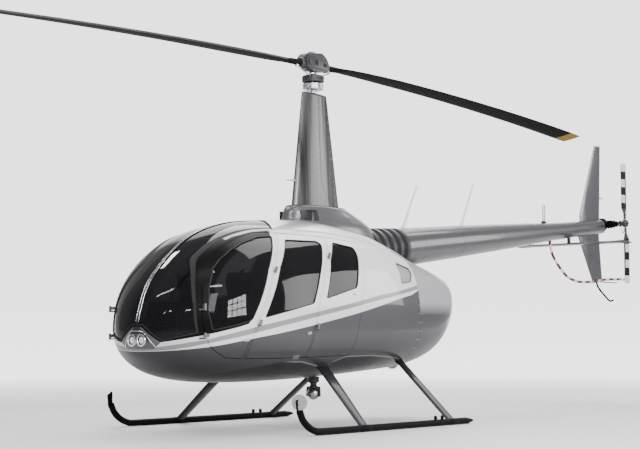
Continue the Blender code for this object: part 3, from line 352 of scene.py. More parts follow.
def makeTrim(name, colour, scale=420.0):
    finish = Finish(name, "cabin_trim")
    weave = finish.add("TexVoronoi", None, {"Vector": finish.place(), "Scale": scale})
    cloud = finish.noise(5.0, 4.0)
    finish.colour(finish.blendColours(cloud, colour, tuple(c * 1.7 for c in colour)))
    finish.roughness(0.75 + cloud * 0.15)
    finish.bump(weave, 0.35, 0.001)
    return finish


def makeLampLens():
    finish = Finish("lampLens", "lamp_glass", IOR=1.5, Coat_Weight=1.0)
    x, y, z = finish.parts()
    ribs = finish.maths("SINE", x * 900.0) * finish.maths("SINE", z * 900.0)
    finish.colour(finish.blendColours(finish.clip(ribs * 0.5 + 0.5), (0.80, 0.81, 0.83), (0.98, 0.98, 1.00)))
    finish.roughness(0.08 + finish.noise(40.0, 3.0) * 0.1)
    finish.bump(ribs, 0.5, 0.002)
    return finish


def makeMesh(name, light, dark):
    # a fine mesh over the air vents
    finish = Finish(name, "dark_metal", Metallic=0.3)
    x, y, z = finish.parts()
    holes = finish.maths("SINE", y * 1400.0) * finish.maths("SINE", z * 1400.0)
    finish.colour(finish.blendColours(finish.clip(holes * 2.0), light, dark))
    finish.roughness(0.45 + finish.noise(30.0) * 0.1)
    finish.bump(holes, 0.4, 0.001)
    return finish


def makeWebbing():
    finish = Finish("beltWebbing", "seat_leather")
    x, y, z = finish.parts()
    weave = finish.maths("SINE", (z + y) * 2600.0) * finish.maths("SINE", x * 2600.0)
    share = finish.clip(weave * 0.5 + 0.5)
    finish.colour(finish.blendColours(share, (0.030, 0.030, 0.034), (0.075, 0.075, 0.080)))
    finish.roughness(0.70 + finish.noise(20.0) * 0.15)
    finish.bump(weave, 0.4, 0.0008)
    return finish


def makeCloth():
    # padded seat covers: leather with fine pores and faint creases
    finish = Finish("seatCovers", "seat_leather")
    pores = finish.add("TexVoronoi", None, {"Vector": finish.place(), "Scale": 330.0})
    creases = finish.noise(11.0, 6.0)
    finish.colour(finish.blendColours(creases, (0.028, 0.028, 0.030), (0.085, 0.085, 0.090)))
    finish.roughness(0.40 + creases * 0.3)
    finish.bump(pores + creases * 2.0, 0.30, 0.0012)
    return finish


def makeLensGlass():
    # the belly camera's dark lens
    finish = Finish("lensGlass", "dark_metal", Coat_Weight=1.0)
    cloud = finish.noise(40.0)
    finish.colour(finish.blendColours(cloud, (0.010, 0.010, 0.011), (0.030, 0.030, 0.034)))
    finish.roughness(0.12 + cloud * 0.1)
    return finish


# the tail rotor's hub, radius, pitch in degrees and a factor on its chords, which its paint needs too
tailRotor = {"x": 0.328, "y": 5.870, "z": 2.281, "radius": 0.762, "wider": 0.96, "pitch": 8.0}
bodyPaint = makeBodyPaint()
silverPaint = makePaint("silverPaint", "silver_paint", paint["silver"], metallic=0.60)
mastCowlPaint = makePaint("mastCowlPaint", "silver_paint", (0.150, 0.150, 0.157), metallic=0.60)
fairingPaint = makeFairingPaint()
boomPaint = makePaint("boomPaint", "grey_paint", (0.095, 0.095, 0.100), metallic=0.45)
finPaint = makePaint("finPaint", "grey_paint", (0.092, 0.092, 0.098), metallic=0.40)
stabiliserPaint = makePaint("stabiliserPaint", "grey_paint", (0.026, 0.026, 0.028), coat=0.2)
legPaint = makePaint("legPaint", "grey_paint", (0.040, 0.040, 0.043), metallic=0.45, coat=0.10)
mirrorPaint = makePaint("mirrorPaint", "silver_paint", (0.300, 0.300, 0.310))
shadedLegPaint = makePaint("shadedLegPaint", "grey_paint", (0.014, 0.014, 0.015), coat=0.2)
postPaint = makePaint("postPaint", "silver_paint", (0.012, 0.012, 0.013), coat=0.2)
lampPanel = makePaint("lampPanel", "silver_paint", (0.085, 0.085, 0.090), coat=0.4)
screenGlass = makeGlass("screenGlass", 0.30, 0.84)
tintedGlass = makeGlass("sideGlass", 0.45, 0.70)
hubMetal = makeMetal("hubMetal", "bare_metal", (0.080, 0.080, 0.084), 0.30, 0.8)
bareMetal = makeMetal("bareMetal", "bare_metal", (0.52, 0.52, 0.54), 0.22)
darkMetal = makeMetal("darkMetal", "dark_metal", (0.050, 0.050, 0.054), 0.38, 0.6)
skidPaint = makeMetal("skidPaint", "dark_metal", (0.004, 0.004, 0.005), 0.30, 0.0, (1.0, 0.1, 1.0), 0.5)
skidPaint.shader.inputs["IOR"].default_value = 1.12
shoeMetal = makeMetal("shoeMetal", "dark_metal", (0.05, 0.05, 0.05), 0.50, 0.8, (1.0, 0.1, 1.0), 0.6)
blackRubber = makeRubber("blackRubber", "dark_metal")
hingeMetal = makeMetal("hingeMetal", "dark_metal", (0.16, 0.16, 0.17), 0.35, 0.8)
burntMetal = makeMetal("burntMetal", "dark_metal", (0.22, 0.19, 0.17), 0.42, 1.0, (1.0, 1.0, 1.0), 0.6)
bladePaint = makeBladePaint()
guardPaint = makeGuardPaint()
tailBladePaint = makeTailBladePaint()
cabinTrim = makeTrim("cabinTrim", (0.030, 0.030, 0.032))
floorCarpet = makeTrim("floorCarpet", (0.022, 0.022, 0.024), 300.0)
lampLens = makeLampLens()
ventMesh = makeMesh("ventMesh", (0.42, 0.42, 0.43), (0.20, 0.20, 0.21))
inletMesh = makeMesh("inletMesh", (0.045, 0.045, 0.047), (0.010, 0.010, 0.011))
chrome = makeMetal("chrome", "bare_metal", (0.80, 0.80, 0.81), 0.06, wear=0.08)
beltWebbing = makeWebbing()
padCloth = makeCloth()
lensGlass = makeLensGlass()
aerialPaint = makePaint("aerialPaint", "white_paint", (0.85, 0.85, 0.85), metallic=0.0)
print("materials made")


# modelling helpers
def deselect():
    if bpy.context.mode != "OBJECT":
        bpy.ops.object.mode_set(mode="OBJECT")
    bpy.ops.object.select_all(action="DESELECT")


def only(obj):
    deselect()
    obj.select_set(True)
    bpy.context.view_layer.objects.active = obj
    return obj


def edit(obj):
    only(obj)
    bpy.ops.object.mode_set(mode="EDIT")
    bpy.ops.mesh.select_all(action="SELECT")


def applyAll(obj):
    only(obj)
    for modifier in list(obj.modifiers):
        bpy.ops.object.modifier_apply(modifier=modifier.name)
    return obj


def boolean(obj, tool, operation="DIFFERENCE"):
    modifier = obj.modifiers.new("cut", "BOOLEAN")
    modifier.operation = operation
    modifier.solver = "MANIFOLD"
    modifier.object = tool
    return applyAll(obj)


def copyOf(obj, name):
    twin = obj.copy()
    twin.data = obj.data.copy()
    twin.name = name
    bpy.context.scene.collection.objects.link(twin)
    return twin


def discard(*objs):
    for obj in objs:
        mesh = obj.data
        bpy.data.objects.remove(obj, do_unlink=True)
        bpy.data.meshes.remove(mesh)


def fuse(name, objs):
    deselect()
    for obj in objs:
        obj.select_set(True)
    bpy.context.view_layer.objects.active = objs[0]
    if len(objs) > 1:
        bpy.ops.object.join()
    objs[0].name = name
    return objs[0]


def smoothBy(obj, angle=35.0):
    only(obj)
    bpy.ops.object.shade_smooth_by_angle(angle=math.radians(angle))
    return obj


def bevel(obj, width, segments=2, angle=35.0):
    modifier = obj.modifiers.new("edges", "BEVEL")
    modifier.width = width
    modifier.segments = segments
    modifier.limit_method = "ANGLE"
    modifier.angle_limit = math.radians(angle)
    return applyAll(obj)


def loft(name, rings, wrapped=True, angle=35.0):
    # a grid primitive wrapped round rings of points, its ends filled
    around = len(rings[0])
    columns = around if wrapped else around - 1
    deselect()
    bpy.ops.mesh.primitive_grid_add(x_subdivisions=columns, y_subdivisions=len(rings) - 1, size=1)
    obj = bpy.context.active_object
    obj.name = name
    spots = [ring[i % around] for ring in rings for i in range(columns + 1)]
    obj.data.vertices.foreach_set("co", np.array(spots, float).ravel())
    if wrapped:
        edit(obj)
        bpy.ops.mesh.remove_doubles(threshold=0.00001)
        bpy.ops.mesh.fill_holes(sides=0)
        bpy.ops.mesh.normals_make_consistent(inside=False)
    return smoothBy(obj, angle)


def placed(axis, across, along, depth):
    return {"X": (depth, across, along), "Y": (across, depth, along), "Z": (across, along, depth)}[axis]


def prism(name, outline, axis, low, high):
    # a flat outline extruded from low to high along an axis
    deselect()
    bpy.ops.mesh.primitive_circle_add(vertices=len(outline), fill_type="NGON")
    obj = bpy.context.active_object
    obj.name = name
    spots = [placed(axis, *point, low) for point in outline]
    obj.data.vertices.foreach_set("co", np.array(spots, float).ravel())
    edit(obj)
    bpy.ops.mesh.extrude_region_move(TRANSFORM_OT_translate={"value": placed(axis, 0, 0, high - low)})
    bpy.ops.mesh.select_all(action="SELECT")
    bpy.ops.mesh.normals_make_consistent(inside=False)
    deselect()
    return obj


def block(name, low, high, edge=0.0, segments=2):
    deselect()
    middle = [(a + b) / 2 for a, b in zip(low, high)]
    size = [b - a for a, b in zip(low, high)]
    bpy.ops.mesh.primitive_cube_add(size=1, location=middle, scale=size)
    obj = bpy.context.active_object
    obj.name = name
    bpy.ops.object.transform_apply(location=True, rotation=True, scale=True)
    if edge:
        bevel(obj, edge, segments)
        smoothBy(obj)
    return obj


def frameAlong(axis):
    # two directions square to an axis
    axis = Vector(axis).normalized()
    side = axis.cross(Vector((0, 0, 1)))
    if side.length < 0.1:
        side = axis.cross(Vector((0, 1, 0)))
    side.normalize()
    return axis, side, axis.cross(side).normalized()


def roundStep(side, other, count, i):
    # one of count directions round the circle that two directions span
    turn = math.tau * i / count
    return side * math.cos(turn) + other * math.sin(turn)


def turned(name, centre, axis, profile, steps=32, angle=35.0):
    # a profile of (radius, distance along the axis) turned about it
    axis, side, other = frameAlong(axis)
    rings = [[Vector(centre) + axis * distance + roundStep(side, other, steps, i) * radius
              for i in range(steps)] for radius, distance in profile]
    return loft(name, rings, True, angle)


def disc(name, centre, axis, radius, low, high, steps=32):
    return turned(name, centre, axis, [(0.0, low), (radius, low), (radius, high), (0.0, high)], steps)


def headings(points):
    # the way ahead at each point of a path
    last = len(points) - 1
    return [(points[min(i + 1, last)] - points[max(i - 1, 0)]).normalized() for i in range(last + 1)]


def tube(name, path, radius, steps=12, smoothing=1):
    # a round bar along a path; radius may be one number or one for each point
    points = curveThrough(path, smoothing) if smoothing > 1 else [Vector(p) for p in path]
    radii = radius if isinstance(radius, list) else [radius] * len(points)
    ways = headings(points)
    side = frameAlong(ways[0])[1]
    rings = []
    for point, ahead, size in zip(points, ways, radii):
        side = (side - ahead * side.dot(ahead)).normalized()
        rings.append([point + roundStep(side, ahead.cross(side), steps, k) * size for k in range(steps)])
    return loft(name, rings)


def finished(obj, body, material, *nodes):
    # the piece's place goes into its mesh, then it rides on its body
    obj.data.transform(Matrix.Translation((0, mastY, 0)))
    obj.data.materials.clear()
    obj.data.materials.append(material.material)
    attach(obj, body)
    if nodes:
        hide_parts(*nodes)
    return obj


def curveThrough(rows, steps):
    # Catmull-Rom points through rows of numbers
    points = []
    last = len(rows) - 1
    for i in range(last):
        here, there = Vector(rows[i]), Vector(rows[i + 1])
        before = Vector(rows[i - 1]) if i > 0 else 2 * here - there
        after = Vector(rows[i + 2]) if i + 2 <= last else 2 * there - here
        for step in range(steps):
            t = step / steps
            points.append(0.5 * (2 * here + (there - before) * t
                                 + (2 * before - 5 * here + 4 * there - after) * t ** 2
                                 + (3 * here - before - 3 * there + after) * t ** 3))
    points.append(Vector(rows[last]))
    return points


def softened(line, steps=4):
    return [tuple(point) for point in curveThrough(line, steps)]


def roundCorners(outline, radius, steps=6):
    rounded = []
    count = len(outline)
    for i in range(count):
        corner = Vector(outline[i])
        before = Vector(outline[i - 1]) - corner
        after = Vector(outline[(i + 1) % count]) - corner
        if before.angle(after) > math.radians(160):
            rounded.append(tuple(corner))
            continue
        start = corner + before.normalized() * min(radius, before.length * 0.45)
        end = corner + after.normalized() * min(radius, after.length * 0.45)
        for step in range(steps + 1):
            t = step / steps
            rounded.append(tuple(start * (1 - t) ** 2 + corner * 2 * t * (1 - t) + end * t ** 2))
    return rounded


def grow(outline, amount):
    points = [Vector(point) for point in outline]
    count = len(points)
    area = sum(points[i - 1].x * points[i].y - points[i].x * points[i - 1].y for i in range(count))
    turn = 1.0 if area > 0 else -1.0
    moved = []
    for i in range(count):
        before = (points[i] - points[i - 1]).normalized()
        after = (points[(i + 1) % count] - points[i]).normalized()
        normal = Vector((before.y + after.y, -before.x - after.x)) * turn
        normal.normalize()
        across = max(0.5, normal.dot(Vector((after.y, -after.x)) * turn))
        moved.append(tuple(points[i] + normal * amount / across))
    return moved


def bar(name, start, end, width, height, edge=0.002, up=(0, 0, 1)):
    # a square bar with softened edges from start to end
    start, end = Vector(start), Vector(end)
    length = (end - start).length
    along = (end - start).normalized()
    side = Vector(up).cross(along).normalized()
    obj = block(name, (-length / 2, -width / 2, -height / 2), (length / 2, width / 2, height / 2), edge)
    turn = Matrix((along, side, along.cross(side))).transposed().to_4x4()
    obj.data.transform(Matrix.Translation((start + end) / 2) @ turn)
    return obj


def studs(name, places, radius, height, steps=10):
    # one dome, copied to each place and normal, then joined
    seed = turned(name, (0, 0, 0), (0, 0, 1), [(0.0, -0.001), (radius, -0.001), (radius, height * 0.3),
                                               (radius * 0.6, height), (0.0, height)], steps, 60)
    domes = []
    for spot, normal in places:
        dome = copyOf(seed, name)
        turn = Vector((0, 0, 1)).rotation_difference(Vector(normal)).to_matrix().to_4x4()
        dome.data.transform(Matrix.Translation(spot) @ turn)
        domes.append(dome)
    discard(seed)
    return fuse(name, domes)


# the fuselage's skin, as y, top, bottom, half width, height of the widest point as a share, and the
# upper and lower squareness
stations = [
    (-2.340, 0.925, 0.845, 0.060, 0.45, 2.00, 2.0), (-2.315, 1.040, 0.745, 0.215, 0.45, 2.00, 2.0),
    (-2.220, 1.270, 0.630, 0.405, 0.43, 2.15, 2.1), (-2.000, 1.510, 0.500, 0.635, 0.39, 2.35, 2.2),
    (-1.700, 1.720, 0.442, 0.765, 0.36, 2.45, 2.3), (-1.300, 1.850, 0.426, 0.780, 0.36, 2.50, 2.5),
    (-0.800, 1.905, 0.432, 0.748, 0.36, 2.55, 2.6), (-0.300, 1.925, 0.448, 0.735, 0.36, 2.60, 2.6),
    (0.300, 1.876, 0.480, 0.710, 0.37, 2.60, 2.6), (0.800, 1.770, 0.509, 0.650, 0.39, 2.50, 2.4),
    (1.200, 1.650, 0.545, 0.578, 0.43, 2.42, 2.3), (1.600, 1.550, 0.640, 0.488, 0.50, 2.45, 2.1),
    (1.880, 1.468, 0.830, 0.350, 0.55, 2.40, 2.0), (2.040, 1.270, 1.020, 0.140, 0.50, 2.00, 2.0),
]
skinSet = {"around": 112, "steps": 7, "wall": 0.022, "glassOut": 0.006, "glassIn": 0.012,
           "noseDome": ((0.6, -0.0030), (0.0, -0.0045)),
           "tailDome": ((0.85, 0.010), (0.5, 0.016), (0.0, 0.018))}


def power(value, exponent):
    return math.copysign(abs(value) ** exponent, value)


skinRows = [list(row) for row in curveThrough(stations, skinSet["steps"])]


def skinRing(row, spare, middle, shrink, size=1.0, push=0.0):
    y, top, bottom, width, share, upper, lower = row
    waist = bottom + (top - bottom) * share
    spare = min(spare, 0.8 * width, 0.4 * (top - bottom))
    ring = []
    for i in range(skinSet["around"]):
        turn = math.tau * i / skinSet["around"]
        squareness = upper if math.sin(turn) >= 0 else lower
        reach = (top - waist if math.sin(turn) >= 0 else waist - bottom) - spare
        ring.append((power(math.cos(turn), 2 / squareness) * (width - spare) * size,
                     middle + (y + push - middle) * shrink,
                     waist + power(math.sin(turn), 2 / squareness) * reach * size))
    return ring


def skinSolid(name, inset):
    middle = (stations[0][0] + stations[-1][0]) / 2
    half = (stations[-1][0] - stations[0][0]) / 2
    shrink = (half - inset) / half
    rings = [skinRing(skinRows[0], inset, middle, shrink, *dome) for dome in skinSet["noseDome"][::-1]]
    rings += [skinRing(row, inset, middle, shrink) for row in skinRows]
    rings += [skinRing(skinRows[-1], inset, middle, shrink, *dome) for dome in skinSet["tailDome"]]
    return loft(name, rings)


skinTable = np.array(skinRows)
ringArray = np.array([skinRing(row, 0.0, 0.0, 1.0) for row in skinRows])
skinNormals = np.cross(np.gradient(ringArray, axis=0),
                       np.roll(ringArray, -1, axis=1) - np.roll(ringArray, 1, axis=1))
skinNormals /= np.linalg.norm(skinNormals, axis=2)[:, :, None]
middleRow = len(skinRows) // 2
skinNormals *= np.sign(skinNormals[middleRow, 0, 0])


def skinCut(y, z):
    # the cross-section at y: its half width and waist, then squareness and reach on z's side of the waist
    _, top, bottom, width, share, upper, lower = (np.interp(y, skinTable[:, 0], column)
                                                  for column in skinTable.T)
    waist = bottom + (top - bottom) * share
    above = z >= waist
    return width, waist, np.where(above, upper, lower), np.where(above, top, bottom) - waist


def normalsAt(points):
    # the smooth skin's normals nearest to many points
    x, y, z = np.asarray(points, float).T
    last = len(skinTable) - 1
    place = np.interp(y, skinTable[:, 0], np.arange(last + 1))
    width, waist, squareness, reach = skinCut(y, z)
    level = np.sign(x) * np.abs(x / width) ** (squareness / 2)
    upright = np.sign(z - waist) * np.abs((z - waist) / reach) ** (squareness / 2)
    turn = (np.arctan2(upright, level) / math.tau * skinSet["around"]) % skinSet["around"]
    low = np.clip(np.floor(place).astype(int), 0, last - 1)
    along = (place - low)[:, None]
    first = np.floor(turn).astype(int) % skinSet["around"]
    second = (first + 1) % skinSet["around"]
    across = (turn - np.floor(turn))[:, None]
    here = skinNormals[low, first] * (1 - across) + skinNormals[low, second] * across
    there = skinNormals[low + 1, first] * (1 - across) + skinNormals[low + 1, second] * across
    normals = here * (1 - along) + there * along
    return normals / np.linalg.norm(normals, axis=1)[:, None]


def insideShare(points):
    # 1 where a point lies well within the skin, 0 on it
    x, y, z = points.T
    width, waist, squareness, reach = skinCut(y, z)
    return (np.abs(x / width) ** squareness + np.abs((z - waist) / reach) ** squareness < 0.972).astype(float)


def skinX(y, z):
    # half width of the skin at one place on the side
    width, waist, squareness, reach = skinCut(y, z)
    return width * (1 - min(1.0, (z - waist) / reach) ** squareness) ** (1 / squareness)


def onSkin(y, z, side, lift=0.0):
    spot = Vector((side * skinX(y, z), y, z))
    normal = Vector(normalsAt([spot])[0])
    return spot + normal * lift, normal


def readMesh(rows, key, width=3, kind=float):
    values = np.zeros(len(rows) * width, kind)
    rows.foreach_get(key, values)
    return values.reshape(-1, width) if width > 1 else values


def skinShade(obj, limit=0.80):
    # faces that follow the skin take its smooth normals, and cut edges stay sharp
    mesh = obj.data
    only(obj)
    bpy.ops.object.shade_smooth()
    spots = readMesh(mesh.vertices, "co")
    inner = mesh.attributes.new("inside", "FLOAT", "POINT")
    inner.data.foreach_set("value", insideShare(spots))
    owner = np.repeat(np.arange(len(mesh.polygons)), readMesh(mesh.polygons, "loop_total", 1, int))
    wanted = normalsAt(spots)[readMesh(mesh.loops, "vertex_index", 1, int)]
    own = readMesh(mesh.polygons, "normal")[owner]
    agree = (wanted * own).sum(axis=1)
    chosen = np.where(np.abs(agree)[:, None] > limit, wanted * np.sign(agree)[:, None], own)
    mesh.normals_split_custom_set(chosen.tolist())
    return obj


# lines on the side, as (y, z)
frontDoorNose = [(-1.900, 0.655), (-2.030, 0.740), (-2.095, 0.880), (-2.103, 1.050), (-2.058, 1.250),
                 (-1.972, 1.417), (-1.880, 1.510), (-1.750, 1.600), (-1.590, 1.675), (-1.380, 1.735)]
screenEdge = [(-2.060, 0.600), (-2.130, 0.860), (-2.137, 1.060), (-2.090, 1.270), (-1.997, 1.445),
              (-1.897, 1.543), (-1.765, 1.632), (-1.600, 1.705), (-1.380, 1.763), (-1.160, 1.787)]
postB = [(-1.150, 1.752), (-1.390, 1.430), (-1.660, 0.975), (-1.745, 0.760), (-1.735, 0.645)]
postC = [(-0.490, 1.740), (-0.580, 1.580), (-0.690, 1.400), (-0.820, 1.140), (-0.886, 0.930), (-0.955, 0.650)]
postD = [(-0.020, 1.700), (-0.070, 1.520), (-0.150, 1.250), (-0.236, 0.910), (-0.300, 0.665)]
roofSeam = [(-1.160, 1.787), (-0.700, 1.793), (-0.300, 1.785), (0.060, 1.755), (0.500, 1.680), (0.890, 1.575)]
frontWindow = [(-1.212, 1.718), (-1.475, 1.395), (-1.735, 0.960), (-2.052, 0.874), (-2.076, 1.050),
               (-2.032, 1.240), (-1.948, 1.399), (-1.860, 1.485), (-1.735, 1.571), (-1.580, 1.644),
               (-1.385, 1.702)]
rearWindow = [(-1.085, 1.690), (-1.320, 1.430), (-1.600, 0.985), (-0.900, 1.120), (-0.775, 1.360),
              (-0.600, 1.665), (-0.640, 1.700)]
quarterWindow = [(-0.425, 1.700), (-0.565, 1.525), (-0.720, 1.165), (-0.235, 1.280), (-0.175, 1.430),
                 (-0.115, 1.590), (-0.125, 1.665)]
screenSill = [(0.060, 0.925), (0.245, 0.790), (0.530, 0.860), (1.000, 0.990)]
panelSet = {"gap": 0.0048, "post": 0.018, "corner": 0.030, "centrePost": 0.011, "cowlSeam": 0.890,
            "screenBack": -0.800, "screenSlope": 0.700, "seal": 0.007}


def shifted(line, amount):
    return [(y + amount, z) for y, z in line]


halfPost = panelSet["post"] / 2 + panelSet["gap"]
frontDoorRear = [(postB[0][0] - halfPost, 1.752)] + shifted(postB[1:], -halfPost)
frontDoor = softened(frontDoorNose) + frontDoorRear
rearDoor = ([(postB[0][0] + halfPost + 0.004, 1.745)] + shifted(postB[1:], halfPost)
            + shifted(postC[::-1], -halfPost)[:-1] + [(postC[0][0] - halfPost, 1.742)])
baggageDoor = ([(postC[0][0] + halfPost, 1.742)] + shifted(postC[1:], halfPost)
               + postD[::-1][:-1] + [(-0.010, 1.712)])
doors = {"front_door": (frontDoor, frontWindow), "rear_door": (rearDoor, rearWindow),
         "baggage_door": (baggageDoor, quarterWindow)}
doorPlaces = [(doorName, sideName, side) for doorName in doors for sideName, side in sides.items()
              if (doorName, sideName) != ("baggage_door", "starboard")]

skin = skinSolid("skinTool", 0.0)
hollow = skinSolid("hollowTool", skinSet["wall"])
glassOuter = skinSolid("glassOuterTool", skinSet["glassOut"])
glassInner = skinSolid("glassInnerTool", skinSet["glassIn"])
wall = boolean(copyOf(skin, "wallTool"), hollow)
glassWall = boolean(copyOf(glassOuter, "glassWallTool"), glassInner)
sealOuter = skinSolid("sealOuterTool", -0.0012)
sealWall = boolean(copyOf(sealOuter, "sealWallTool"), glassInner)
print("skin made")


def sidePrism(name, outline, side):
    return prism(name, outline, "X", *((0.05, 1.0) if side > 0 else (-1.0, -0.05)))


def makeWindow(nodeName, body, outline, side):
    # the pane and the black rubber round it
    corner = roundCorners(outline, panelSet["corner"])
    paneTool = sidePrism("paneTool", grow(corner, -0.0003), side)
    pane = boolean(copyOf(glassWall, nodeName.replace("_", "") + "Pane"), paneTool, "INTERSECT")
    finished(skinShade(pane), body, tintedGlass, nodeName)
    innerTool = sidePrism("innerTool", grow(corner, -panelSet["seal"]), side)
    seal = boolean(copyOf(sealWall, nodeName.replace("_", "") + "Seal"), paneTool, "INTERSECT")
    seal = boolean(seal, innerTool)
    finished(skinShade(seal), body, blackRubber)
    discard(paneTool, innerTool)


doorSpaces = []
for doorName, sideName, side in doorPlaces:
    outline, window = doors[doorName]
    node = f"{doorName}_{sideName}"
    tool = sidePrism("doorTool", outline, side)
    door = boolean(copyOf(wall, node.replace("_", "") + "Panel"), tool, "INTERSECT")
    windowTool = sidePrism("windowTool", roundCorners(window, panelSet["corner"]), side)
    finished(skinShade(boolean(door, windowTool)), node, bodyPaint, node)
    makeWindow(f"{doorName}_glass_{sideName}", node, window, side)
    doorSpaces.append(sidePrism("doorSpace", grow(outline, panelSet["gap"]), side))
    discard(tool, windowTool)
makeWindow("quarter_glass_starboard", "airframe", quarterWindow, -1)
print("doors and windows made")


def screenPrism(inset):
    smoothEdge = softened(screenEdge)
    outline = [(-2.7, 0.600), (-2.7, 2.3), (panelSet["screenBack"] + 0.3, 2.3),
               (panelSet["screenBack"] + 0.3, 1.775)]
    space = prism("screenTool", grow(outline + smoothEdge[::-1], -inset), "X", -1.0, 1.0)
    sill = [(-x, z) for x, z in screenSill[::-1]] + screenSill
    ahead = prism("aheadTool", grow([(-1.1, 2.3)] + sill + [(1.1, 2.3)], -inset), "Y", -3.0, 0.5)
    slope = panelSet["screenBack"] - panelSet["screenSlope"]
    above = prism("aboveTool", grow([(-1.0, -3.0), (1.0, -3.0), (1.0, slope), (0.0, panelSet["screenBack"]),
                                     (-1.0, slope)], -inset), "Z", 0.3, 2.5)
    boolean(space, ahead, "INTERSECT")
    boolean(space, above, "INTERSECT")
    discard(ahead, above)
    return space


screenSpace = screenPrism(0.0)
screenInner = screenPrism(0.010)
for sideName, side in sides.items():
    low, high = sorted((side * (panelSet["centrePost"] + 0.0003), side * 1.0))
    half = block("halfTool", (low, -3.0, 0.3), (high, 0.5, 2.5))
    pane = boolean(copyOf(glassWall, f"windscreenPane{sideName.title()}"), screenSpace, "INTERSECT")
    boolean(pane, half, "INTERSECT")
    finished(skinShade(pane), "airframe", screenGlass, f"windscreen_{sideName}")
    seal = boolean(copyOf(sealWall, f"windscreenSeal{sideName.title()}"), screenSpace, "INTERSECT")
    boolean(seal, screenInner)
    boolean(seal, half, "INTERSECT")
    finished(skinShade(seal), "airframe", blackRubber)
    discard(half)
slab = block("slabTool", (-panelSet["centrePost"], -3.0, 0.3), (panelSet["centrePost"], 0.5, 2.5))
post = boolean(copyOf(wall, "windscreenPost"), screenSpace, "INTERSECT")
boolean(post, slab, "INTERSECT")
finished(skinShade(post), "airframe", postPaint, "windscreen_post")

smoothSeam = softened(roofSeam)
roofOutline = smoothSeam + [(roofSeam[-1][0], 2.3), (-1.6, 2.3), (-1.6, 1.775)]
roofTool = prism("roofTool", grow(roofOutline, -0.0006), "X", -1.0, 1.0)
roof = boolean(copyOf(wall, "roofPanel"), roofTool, "INTERSECT")
boolean(roof, screenSpace)
finished(skinShade(roof), "airframe", silverPaint, "roof_panel")

housingOutline = [(-0.235, 0.780), (-0.050, 0.912), (0.050, 0.912), (0.235, 0.780), (0.150, 0.725),
                  (-0.150, 0.725)]
housingOuter = roundCorners(housingOutline, 0.020)
housingTool = prism("housingTool", housingOuter, "Y", -2.5, -2.150)
shell = copyOf(wall, "cabinShell")
aftTool = block("aftTool", (-1.0, panelSet["cowlSeam"] - 0.0012, 0.0), (1.0, 2.6, 2.5))
roofSpace = prism("roofSpace", grow(roofOutline, 0.0006), "X", -1.0, 1.0)
quarterTool = sidePrism("quarterTool", roundCorners(quarterWindow, panelSet["corner"]), -1)
ventOutline = [(0.555, 1.546), (0.815, 1.502), (0.823, 1.447), (0.756, 1.373), (0.558, 1.345)]
ventTools = [sidePrism("ventTool", roundCorners(ventOutline, 0.018), side) for side in sides.values()]
for tool in [aftTool, roofSpace, screenSpace, housingTool, quarterTool] + doorSpaces + ventTools:
    boolean(shell, tool)
for ventTool, (sideName, side) in zip(ventTools, sides.items()):
    rim = [onSkin(y, z, side, 0.001)[0] for y, z in roundCorners(ventOutline, 0.018)]
    finished(tube(f"ventRim{sideName.title()}", rim + rim[:2], 0.0042, 10), "airframe", darkMetal)
    vent = boolean(copyOf(glassWall, f"ventScreen{sideName.title()}"), ventTool, "INTERSECT")
    finished(skinShade(vent), "airframe", ventMesh)
discard(*ventTools)
finished(skinShade(shell), "airframe", bodyPaint, "cabin_shell")
cowlTool = block("cowlTool", (-1.0, panelSet["cowlSeam"] + 0.0012, 0.0), (1.0, 2.6, 2.5))
aftCowl = boolean(copyOf(wall, "aftCowl"), cowlTool, "INTERSECT")
finished(skinShade(aftCowl), "airframe", bodyPaint, "aft_cowl")
print("shell and cowls made")

# nose panel with its two lamps
lamp = {"x": 0.056, "z": 0.800, "radius": 0.042, "face": -2.340, "depth": 0.050}
lensProfile = [(0.0, -0.004), (0.020, -0.003), (lamp["radius"] - 0.008, 0.001),
               (lamp["radius"] - 0.004, 0.006), (lamp["radius"] - 0.004, lamp["depth"]), (0.0, lamp["depth"])]
# the rim and the shade ring, as (distance past the lamp's radius, depth)
rimProfile = [(-0.006, 0.002), (-0.004, -0.008), (-0.001, -0.012), (0.010, -0.010), (0.012, -0.004),
              (0.004, 0.002), (0.004, 0.010), (0.004, 0.046), (-0.006, 0.046), (-0.006, 0.002)]
shadeProfile = [(-0.0145, 0.0035), (-0.011, -0.004), (-0.0068, -0.004), (-0.0066, 0.012), (-0.0145, 0.012),
                (-0.0145, 0.0035)]
housing = boolean(copyOf(wall, "noseLightHousing"), housingTool, "INTERSECT")
for sideName, side in sides.items():
    spot = Vector((side * lamp["x"], lamp["face"], lamp["z"]))
    socketTool = disc("socketTool", spot, (0, 1, 0), lamp["radius"] + 0.004, -0.1, 0.2)
    boolean(housing, socketTool)
    discard(socketTool)
    lens = turned(f"lampLens{sideName.title()}", spot, (0, 1, 0), lensProfile, 48)
    finished(lens, "airframe", lampLens, f"landing_lamp_{sideName}")
    for ringName, ringProfile, material in (("lampRim", rimProfile, chrome),
                                            ("lampShade", shadeProfile, blackRubber)):
        ring = turned(f"{ringName}{sideName.title()}", spot, (0, 1, 0),
                      [(lamp["radius"] + past, deep) for past, deep in ringProfile], 48)
        finished(ring, "airframe", material)
finished(skinShade(housing), "airframe", lampPanel, "nose_light_housing")
frontHood = [(-0.180, 0.742), (-0.140, 0.797), (-0.098, 0.850), (-0.050, 0.874), (0.050, 0.874),
             (0.098, 0.850), (0.140, 0.797), (0.180, 0.742)]


